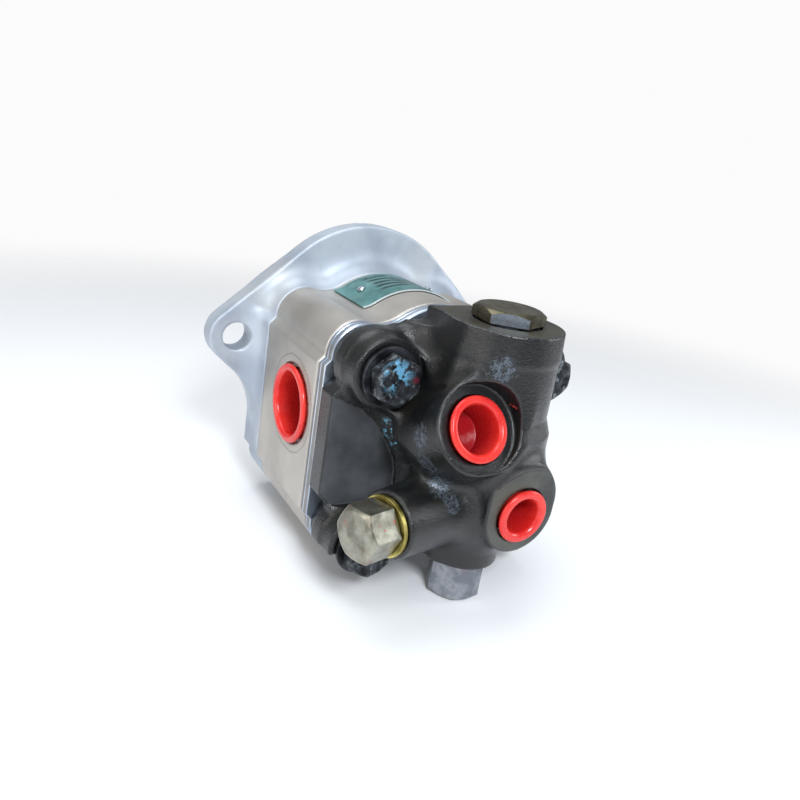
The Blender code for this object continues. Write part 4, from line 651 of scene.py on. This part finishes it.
def innerFinish(slot, dark, light, roughness, metallic):
    m = Maker(slot)
    cloud, fine = m.noise(150, 3), m.noise(1300, 2)
    tone = m.mix(m.ramp(cloud, 0.35, 0.65), rgb(dark), rgb(light))
    return m.finish(tone, roughness + fine * 0.12, metallic, m.bump(fine, 0.0001, 0.3))


finishes = {
    "cast_aluminium": castAluminium(),
    "body_aluminium": bodyAluminium(),
    "bright_aluminium": plateAluminium(),
    "black_iron": blackPaint(),
    "steel": innerFinish("steelInside", "8f9296", "c2c5c9", 0.22, 1.0),
    "black_steel": boltSteel(),
    "bronze": innerFinish("bearingBronze", "8a6a3c", "b8935a", 0.3, 1.0),
    "rubber": innerFinish("sealRubber", "0c0c0d", "1e1e20", 0.55, 0.0),
    "red_plastic": redPlastic(),
    "teal_foil": tealFoil(),
    "yellow_zinc": plainSteel("yellowZinc", "86783a", "cdbf74", 0.26),
}
slotOf = {part["node"]: part["material_slot"] for part in record["subparts"]}
for nodeName, node in frame["nodes"].items():
    node.data.materials.clear()
    node.data.materials.append(finishes[slotOf[nodeName]])
print("stage: materials")

# Valve block: cast forms blended together, then the machined cuts

valve = {"front": -66.8, "back": -75.3, "seat": -84.6, "x": 4.4, "y": -93.0, "top": 31.4, "bottom": -51.5,
         "wing": 8.0, "wingLeft": -13.5, "wingY": -74.0, "bossR": 17.5, "padR": 11.7, "padFace": 12.1,
         "portDeep": 13.5, "seatDeep": 2.4, "leftBoreR": 7.0, "boltHoleR": 5.2, "step": 0.645}
# each port: radius of its bore, its seat's mouth and the boss face round it
ports = {"upper": (8.8, 10.4, 13.9), "lower": (7.3, 9.4, 16.0)}
upperOut = np.array([0, -math.cos(math.radians(29)), math.sin(math.radians(29))])
upperFace = np.array([-12.0, -109.4, 2.5])
lowerOut = np.array([0, -1, 0])
leftOut = np.array([-math.cos(math.radians(14.9)), -math.sin(math.radians(14.9)), 0])
leftRoot = np.array([valve["x"], valve["y"], -30.3])
washerSeat = 39.9
# stepped bores along the block's upright axis: top, bottom and radius
spoolBores = [(33, 19.6, 9.2), (33, 29.2, 11.1), (21, -48, 5.6), (-30, -45, 7.2), (-43.0, -54, 8.4),
              (-49.3, -54, 10.2)]


def plateOutline():
    x, z, side, cornerR = section["boltX"], middleZ + section["boltRise"], section["sideX"], 10.8
    right = np.vstack([arcPoints(x, z, cornerR, 90, -35.2, 16), [[side, 1.0], [side, -34.0]],
                       arcPoints(x, 2 * middleZ - z, cornerR, 51.0, -90, 16)])
    return np.vstack([right, right[::-1] * [-1, 1]])


webOutline = np.array([(-19.5, 25.4), (-21.8, 18.0), (-26.8, -1.0), (-24.6, -8.0), (-21.6, -13.9),
                       (-18.9, -18.1), (-16.4, -22.7), (-15.4, -28.0), (-14.6, -36.0), (-12.0, -49.5),
                       (17.0, -49.5), (21.5, -38.5), (24.5, -20.7), (25.5, -5.0), (23.5, 18.0), (22.0, 25.4)])
flatOutline = np.array([(-60, 1.4), (-44.9, 1.2), (-37.0, -1.4), (-31.4, -4.8), (-26.3, -9.0),
                        (-22.6, -13.9), (-19.9, -18.1), (-17.4, -22.7), (-16.4, -27.5), (-15.6, -38.0),
                        (-60, -38.0)])
topOutline = np.vstack([[(valve["wingLeft"], valve["wingY"])],
                        arcPoints(valve["x"], valve["y"], valve["bossR"], 195, 360, 30),
                        [(valve["x"] + valve["bossR"], valve["wingY"])]])
barrelHeights = np.array([-51.5, -46.0, -42.0, -38.0, -22.0, -14.0, -9.0, -2.0, 3.0, 12.0, 22.0, 31.4])
barrelRadii = np.array([13.0, 13.2, 14.4, 15.5, 15.6, 19.4, 20.5, 20.5, 18.6, 18.5, 18.4, 17.5])


def blockField(p):
    x, y, z = p
    v = valve
    shape = softMax(outlineField(x, z, plateOutline()), between(y, v["back"], v["front"]), 0.9)
    for bx, bz in boltPlaces:
        pad = barField(p, (bx, -72, bz), (bx, v["seat"], bz), v["padR"], k=1.0)
        shape = softMin(shape, pad, 5)
    share = np.clip((-73 - y) / 20, 0, 1)
    narrow = v["x"] + (x - v["x"]) / (1 - 0.38 * share)
    web = softMax(outlineField(narrow, z, webOutline) * (1 - 0.38 * share), between(y, v["y"], -72), 2.0)
    radial = np.sqrt((x - v["x"]) ** 2 + (y - v["y"]) ** 2)
    barrel = softMax((radial - np.interp(z, barrelHeights, barrelRadii)) * 0.95,
                     between(z, v["bottom"], v["top"] - 0.4), 1.2)
    top = softMax(outlineField(x, y, topOutline), between(z, v["top"] - v["wing"], v["top"]), 1.0)
    upper = barField(p, upperFace, upperFace - upperOut * 26, 13.9, 14.7, k=1.2)
    left = barField(p, leftRoot, leftRoot + leftOut * washerSeat, 13.0, 10.9, k=1.0)
    oval = np.sqrt((x - lowerFace[0]) ** 2 + (z - np.clip(z, lowerFace[2], lowerFace[2] + 3.5)) ** 2) - 13.6
    lower = softMax(oval, between(y, lowerFace[1], v["y"]), 1.2)
    cast = softMin(softMin(barrel, web, 8), upper, 9)
    cast = softMin(softMin(cast, lower, 7), top, 3)
    shape = softMin(shape, cast, 7)
    # machined cuts: the flat beside the web, faces, seats and bores; the left barrel crosses the flat
    shape = softMax(shape, -np.maximum(outlineField(x, z, flatOutline), y - v["back"]), 0.3)
    shape = softMin(shape, left, 6)
    shape = softMax(shape, z - v["top"], 0.5)
    shape = softMax(shape, v["bottom"] - z, 0.5)
    shape = softMax(shape, y - v["front"], 0.5)
    shape = softMax(shape, np.abs(x) - section["sideX"], 0.5)
    for bx, bz in boltPlaces:
        if bz > middleZ:
            spot = barField(p, (bx, v["seat"], bz), (bx, v["seat"] - 14, bz), v["padFace"])
            shape = softMax(shape, -spot, 0.4)
        shape = np.maximum(shape, -barField(p, (bx, -60, bz), (bx, v["seat"] - 5, bz), v["boltHoleR"]))
    # each port's spot face runs outwards from the face of its boss
    leftSpot = barField(p, leftRoot + leftOut * washerSeat, leftRoot + leftOut * 60, 14.5)
    shape = softMax(shape, -leftSpot, 0.5)
    for face, out, name in ((upperFace, upperOut, "upper"), (lowerFace, lowerOut, "lower")):
        boreR, mouthR, faceR = ports[name]
        spot = barField(p, face, face + out * 18, faceR)
        bore = barField(p, face + out * 2, face - out * v["portDeep"], boreR)
        seat = barField(p, face + out, face - out * v["seatDeep"], mouthR + 0.21, mouthR - 0.51, k=0.2)
        shape = softMax(shape, -spot, 0.5)
        shape = softMax(shape, -np.minimum(bore, seat), 0.3)
    for high, low, radius in spoolBores:
        shape = np.maximum(shape, -barField(p, (v["x"], v["y"], high), (v["x"], v["y"], low), radius))
    return np.maximum(shape, -barField(p, leftRoot + leftOut * 23, leftRoot + leftOut * 42, v["leftBoreR"]))


def makeBlock():
    points, faces = gridMesh(blockField, (-44.5, -116.6, -52.2), (44.5, -66.2, 32.0), valve["step"])
    points = settle(points, blockField, valve["step"])
    block = makeMesh("valveBlockCast", points, faces)
    x, y, z = points.T
    flat = (np.abs(y - valve["back"]) < 0.12) & (outlineField(x, z, flatOutline) < 0.2)
    milled = flat | (z > valve["top"] - 0.12) | (np.abs(x) > 43.78)
    addMask(block, "milled", milled)
    portFace = np.zeros(len(points), bool)
    for face, out in ((upperFace, upperOut), (lowerFace, lowerOut)):
        portFace |= (np.abs((points - face) @ out) < 0.2) & (np.linalg.norm(points - face, axis=1) < 16.5)
    addMask(block, "portFace", portFace)
    return setPiece(block, "housing", "black_iron", finishes["black_iron"], "valve_block")


makeBlock()
print("stage: valve block")


def flangeField(p):
    x, y, z = p
    f = flangeSize
    disc = softMax(outlineField(x, z, flangeOutline()), between(y, -f["thick"], 0), 0.7)
    neck = softMax(outlineField(x, z, bodyOutline()), between(y, f["neckEnd"], f["neckStart"]), 0.5)
    shape = softMin(disc, neck, f["fillet"])
    shape = softMax(shape, y, 0.5)
    shape = softMax(shape, f["neckEnd"] - y, 0.4)
    pilot = barField(p, (0, -4, 0), (0, f["pilotHigh"], 0), f["pilotR"], k=1.2)
    shape = np.minimum(shape, pilot)
    for side in (-1, 1):
        hole = barField(p, (side * f["holeX"], -20, 0), (side * f["holeX"], 5, 0), f["holeR"])
        shape = softMax(shape, -hole, 0.7)
    for start, end, radius in (((0, 10, 0), (0, -25, 0), 9.4), ((0, 10, 0), (0, -5, 0), 15.3)):
        shape = softMax(shape, -barField(p, start, end, radius), 0.6)
    for bx, bz in boltPlaces:
        shape = np.maximum(shape, -barField(p, (bx, -4.2, bz), (bx, -25, bz), f["boltHoleR"]))
    return shape


def makeFlange():
    points, faces = gridMesh(flangeField, (-63.7, -16.5, -66.8), (63.7, 6.35, 45.6), flangeSize["step"])
    points = settle(points, flangeField, flangeSize["step"])
    flange = makeMesh("mountingFlangeCast", points, faces)
    return setPiece(flange, "housing", "cast_aluminium", finishes["cast_aluminium"], "mounting_flange")


makeFlange()
print("stage: flange")

bodyEnds = (-61.8, -16.8)
bodySize = {"gearBoreR": 22.5, "boltHoleR": 5.2, "step": 0.75}


def bodyField(p):
    x, y, z = p
    shape = softMax(outlineField(x, z, bodyOutline()), between(y, *bodyEnds), 0.7)
    portY, portZ = port["y"], port["z"]
    bore = barField(p, (-50, portY, portZ), (-43.9 + port["deep"], portY, portZ), port["radius"])
    seat = barField(p, (-45, portY, portZ), (-41.5, portY, portZ), 14.8, 14.1, k=0.2)
    shape = softMax(shape, -np.minimum(bore, seat), 0.3)
    for gearZ in (0, -section["centres"]):
        shape = np.maximum(shape, -barField(p, (0, -10, gearZ), (0, -70, gearZ), bodySize["gearBoreR"]))
    for bx, bz in boltPlaces:
        shape = np.maximum(shape, -barField(p, (bx, -10, bz), (bx, -70, bz), bodySize["boltHoleR"]))
    return shape


def makeBody():
    low, high = (-43.9, bodyEnds[0], -66.8), (43.9, bodyEnds[1], 28.8)
    points, faces = gridMesh(bodyField, low, high, bodySize["step"])
    points = settle(points, bodyField, bodySize["step"])
    body = makeMesh("pumpBodyExtrusion", points, faces)
    spot = np.hypot(points[:, 1] - port["y"], points[:, 2] - port["z"])
    addMask(body, "spotFace", (spot < port["spotR"]) & (points[:, 0] < -43.8))
    return setPiece(body, "housing", "body_aluminium", finishes["body_aluminium"], "pump_body")


makeBody()
print("stage: body")


def prismPiece(name, rows, outline):
    # the outline at each (y, shrink) row, with a flat face at both ends
    layers = []
    for y, shrink in rows:
        ring = outline(-shrink)
        layers.append(np.column_stack([ring[:, 0], np.full(len(ring), y), ring[:, 1]]))
    count = len(layers[0])
    faces = [tuple(face) for face in gridFaces(len(rows), count)]
    faces += [tuple(range(count)), tuple(range(len(rows) * count - 1, (len(rows) - 1) * count - 1, -1))]
    return weld(makeMesh(name, np.concatenate(layers), faces), 30)


sealRows = [(-62.1, 0.5), (-62.35, 0.12), (-62.6, 0.0), (-63.5, 0.0), (-63.7, 0.28), (-63.95, 0.28),
            (-64.15, 0.0), (-65.9, 0.0), (-66.25, 0.14), (-66.5, 0.5)]
setPiece(prismPiece("sealPlateBand", sealRows, lambda grow: bodyOutline(grow, side=43.4)),
         "housing", "bright_aluminium", finishes["bright_aluminium"], "seal_plate")
print("stage: seal plate")

# Nameplate and rivets on the top of the body

def makeNameplate():
    outline = bodyOutline(plate["gap"] + plate["foil"] / 2)
    upper = outline[outline[:, 1] > middleZ + section["boltRise"] - 6]
    upper = upper[np.argsort(upper[:, 0])]
    x = np.linspace(plate["left"], plate["right"], 90)
    z = np.interp(x, upper[:, 0], upper[:, 1])
    y = np.linspace(plate["front"], plate["back"], 40)
    slope = np.gradient(z, x)
    lift = np.column_stack([-slope, np.ones_like(slope)]) / np.sqrt(1 + slope ** 2)[:, None]
    # a thin closed cross-section along the arc: out over the top, back underneath
    half = plate["foil"] / 2
    top = np.column_stack([x, z]) + lift * half
    under = (np.column_stack([x, z]) - lift * half)[::-1]
    loop = np.vstack([top, under])
    rows = np.stack([np.column_stack([loop[:, 0], np.full(len(loop), v), loop[:, 1]]) for v in y])
    count = len(loop)
    faces = [tuple(face) for face in gridFaces(len(y), count)]
    for row, flip in ((0, 1), (len(y) - 1, -1)):
        for i in range(len(x) - 1):
            first, last = row * count + i, (row + 1) * count - 1 - i
            faces.append((first, first + 1, last - 1, last)[::flip])
    foil = weld(makeMesh("nameplateFoil", rows.reshape(-1, 3), faces), 40)
    return setPiece(foil, "housing", "teal_foil", finishes["teal_foil"], "nameplate")


makeNameplate()
rivetMetal = plainSteel("rivetAluminium", "9ba1a6", "e2e6ea", 0.18)
for index in (1, 2):
    low, high = (np.array(corner) * 1000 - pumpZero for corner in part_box(f"nameplate_rivet_{index}"))
    middle = (low + high) / 2
    outward = unit([middle[0], 0, middle[2]])
    foot = outward * 29.7 + [0, middle[1], 0]
    dome = [(0, -3.0), (0.7, -3.0), (0.75, -0.3), (0.75, 0.0), (1.5, 0.0), (1.6, 0.15), (1.45, 0.45),
            (1.0, 0.7), (0.5, 0.8), (0, 0.8)]
    setPiece(turnedPiece(f"rivetHead{index}", dome, foot, outward, 40), "housing", "bright_aluminium",
             rivetMetal, f"nameplate_rivet_{index}")
print("stage: nameplate")

# Bolts and their washers

bolts = {"flats": 14.3, "height": 5.8, "base": -86.8, "end": -4.5, "turns": (8, 0, 8, 22), "chamfer": 0.93,
         "dish": 0.35, "washerFoot": -84.9}
bolts["shank"] = (4.76, bolts["end"] - bolts["base"])
washerSteel = plainSteel("washerSteel", "1a1b1d", "4d5054", 0.3, 0.85)
for index, (bx, bz) in enumerate(boltPlaces):
    head = hexPiece(f"boltHead{index + 1}", bolts, (bx, bolts["base"], bz), (0, -1, 0), bolts["turns"][index])
    setPiece(head, "housing", "black_steel", finishes["black_steel"], f"through_bolt_{index + 1}")
    ring = [(5.2, 0.2), (5.5, 0), (9.3, 0), (9.6, 0.3), (9.6, 1.3), (9.3, 1.6), (5.5, 1.6), (5.2, 1.4)]
    foot = (bx, bolts["washerFoot"], bz)
    washer = turnedPiece(f"washerRing{index + 1}", ring, foot, (0, -1, 0), closed=True)
    setPiece(washer, "housing", "black_steel", washerSteel, f"bolt_washer_{index + 1}")
print("stage: bolts")

# Plugs: top, left with its bonded washer, and the relief cap

up, down = (0, 0, 1), (0, 0, -1)


def onAxis(height):
    # a point on the block's upright axis
    return (valve["x"], valve["y"], height)


# the top plug's facet towards the camera carries a painted reflection
topPlug = {"flats": 20.4, "height": 4.2, "foot": 31.7, "end": 35.9, "turn": 54.4, "chamfer": 0.97,
           "dish": 0.15, "shank": (8.9, 11.7), "sheenSide": (-0.582, -0.813, 0)}
topPlugMetal = turnedFace("topPlugMetal", "4d4838", "6f6955", onAxis(topPlug["end"]), up,
                          sheenSide=topPlug["sheenSide"])
setPiece(hexPiece("topPlugHex", topPlug, onAxis(topPlug["foot"]), up, topPlug["turn"]),
         "housing", "black_steel", topPlugMetal, "top_plug")

leftPlug = {"flats": 16.2, "height": 10.7, "foot": 42.0, "end": 52.7, "washer": 40.2, "turn": 34,
            "chamfer": 0.9, "dish": 0.2, "shank": (6.6, 18.1)}
leftEnd = leftRoot + leftOut * leftPlug["end"]
leftPlugMetal = turnedFace("leftPlugMetal", "77756a", "9f9d90", leftEnd, leftOut, 0.8)
setPiece(hexPiece("leftPlugHex", leftPlug, leftRoot + leftOut * leftPlug["foot"], leftOut, leftPlug["turn"]),
         "housing", "steel", leftPlugMetal, "left_plug")
bonded = [(6.9, 0.1), (7.1, 0), (9.6, 0), (9.8, 0.2), (9.8, 1.3), (9.6, 1.5), (8.4, 1.5), (8.2, 1.3),
          (7.6, 1.3), (7.1, 1.5), (6.9, 1.4)]
bondedFoot = leftRoot + leftOut * leftPlug["washer"]
setPiece(turnedPiece("bondedWasherRing", bonded, bondedFoot, leftOut, closed=True),
         "housing", "yellow_zinc", finishes["yellow_zinc"], "left_plug_washer")

reliefCap = {"flats": 17.5, "height": 14.2, "foot": -51.8, "end": -66.0, "turn": 30, "chamfer": 0.96,
             "dish": 0.3, "shank": (8.0, 8.3, 5.6, 17.5)}
capMetal = turnedFace("reliefCapMetal", "7b828a", "a3a6ac", onAxis(reliefCap["end"]), down, 0.3)
setPiece(hexPiece("reliefCapHex", reliefCap, onAxis(reliefCap["foot"]), down, reliefCap["turn"]),
         "housing", "steel", capMetal, "relief_cap")
print("stage: plugs")

# Transport caps: a push-in cup with a rim


def makeCap(name, face, outward, ring, cup, depth, body, node):
    wall, rim, under = 1.1, 1.7, 0.3
    inner = cup - wall
    floorLevel = wall - depth
    profile = [(0, floorLevel + 0.35), (0.9, floorLevel + 0.35), (1.1, floorLevel), (inner - 0.5, floorLevel),
               (inner + 0.1, rim - 1.0), (inner + 0.9, rim), (ring - 0.5, rim), (ring, rim - 0.5),
               (ring, under), (cup, under), (cup - 0.3, 0.4 - depth), (cup - 0.9, -depth), (0, -depth)]
    cap = turnedPiece(name, roundCorners(profile, 0.45), face, outward, 128, angle=50)
    points = np.zeros(len(cap.data.vertices) * 3)
    cap.data.vertices.foreach_get("co", points)
    rel = points.reshape(-1, 3) * 1000 - pumpZero - face
    height = rel @ outward
    radial = np.linalg.norm(rel - height[:, None] * outward, axis=1)
    # the deep mask carries painted shade: 0 at the rim, up to 1 towards the cup's floor
    addMask(cap, "deep", np.clip((0.6 - height) / 4.5, 0, 1) * (radial < inner + 0.6))
    return setPiece(cap, body, "red_plastic", finishes["red_plastic"], node)


makeCap("suctionCup", np.array([-43.9, port["y"], port["z"]]), np.array([-1, 0, 0]), 14.0, 12.2, 12.5,
        "suction_cap", "suction_port_cap")
makeCap("upperCup", upperFace, upperOut, 10.2, 8.5, 11.5, "upper_cap", "upper_port_cap")
makeCap("lowerCup", lowerFace, lowerOut, 9.1, 7.0, 11.5, "lower_cap", "lower_port_cap")
print("stage: caps")

# Floor, light and camera

floorTone = Maker("paleFloor")
paleCloud = floorTone.noise(6, 2)
flatReach = floorTone.node("ShaderNodeVectorMath", {"operation": "LENGTH"}, i0=floorTone.coords)
floorTone.finish(floorTone.mix(paleCloud, (0.86, 0.87, 0.88), (0.9, 0.9, 0.91)), 0.9)
# the floor fades into the backdrop with its distance from the pump
floorTone.feed(floorTone.shader.inputs["Alpha"], floorTone.ramp(flatReach.outputs["Value"], 0.6, 0.25))
bpy.ops.mesh.primitive_plane_add(size=3, location=(0, 0, 0))
floor = bpy.context.object
floor.name = "floorPlane"
floor.data.materials.append(floorTone.material)

world = bpy.data.worlds.new("studioWorld")
bpy.context.scene.world = world
world.use_nodes = True
tree = world.node_tree
background = tree.nodes["Background"]
background.inputs["Color"].default_value = (0.93, 0.96, 1.0, 1)
background.inputs["Strength"].default_value = 0.36
backdrop = tree.nodes.new("ShaderNodeBackground")
backdrop.inputs["Color"].default_value = (0.97, 0.97, 0.975, 1)
rays = tree.nodes.new("ShaderNodeLightPath")
blend = tree.nodes.new("ShaderNodeMixShader")
tree.links.new(rays.outputs["Is Camera Ray"], blend.inputs[0])
tree.links.new(background.outputs[0], blend.inputs[1])
tree.links.new(backdrop.outputs[0], blend.inputs[2])
tree.links.new(blend.outputs[0], tree.nodes["World Output"].inputs["Surface"])

lamps = {  # place and aim in millimetres of the pump's frame, size in metres, power in watts
    "skyLamp": ((-80, 60, 560), (0, -60, 0), 0.5, 2.1, (0.94, 0.97, 1.0)),
    "leftLamp": ((-560, -160, 160), (0, -60, -10), 0.4, 1.2, (1.0, 0.97, 0.93)),
    "keyLamp": ((-150, -560, 380), (0, -90, 0), 0.16, 3.4, (0.88, 0.94, 1.0)),
    "rightLamp": ((460, -260, 160), (0, -80, 0), 0.25, 0.9, (0.93, 0.97, 1.0)),
}
for lampName, (place, aim, size, power, tint) in lamps.items():
    light = bpy.data.lights.new(lampName, "AREA")
    light.shape, light.size, light.energy, light.color = "DISK", size, power, tint
    lamp = bpy.data.objects.new(lampName, light)
    bpy.context.scene.collection.objects.link(lamp)
    lamp.location = toWorld(place)
    beam = Vector(np.array(aim, float) - np.array(place, float))
    lamp.rotation_euler = beam.to_track_quat("-Z", "Y").to_euler()

view = {"place": (-142.25, -267.63, 78.80), "right": (0.8669, -0.4745, 0.1526),
        "up": (0.0360, 0.3651, 0.9303), "back": (-0.4971, -0.8010, 0.3336),
        "lens": 32.945, "shiftX": 0.01375, "shiftY": 0.00125}
cameraData = bpy.data.cameras.new("photoCamera")
cameraData.lens, cameraData.sensor_width = view["lens"], 36
cameraData.shift_x, cameraData.shift_y = view["shiftX"], view["shiftY"]
cameraData.clip_start = 0.01
camera = bpy.data.objects.new("photoCamera", cameraData)
bpy.context.scene.collection.objects.link(camera)
turn = Matrix((view["right"], view["up"], view["back"])).transposed()
camera.matrix_world = Matrix.Translation(toWorld(view["place"])) @ turn.to_4x4()
bpy.context.scene.camera = camera
bpy.context.scene.view_settings.view_transform = "Standard"
print("stage: light and camera")
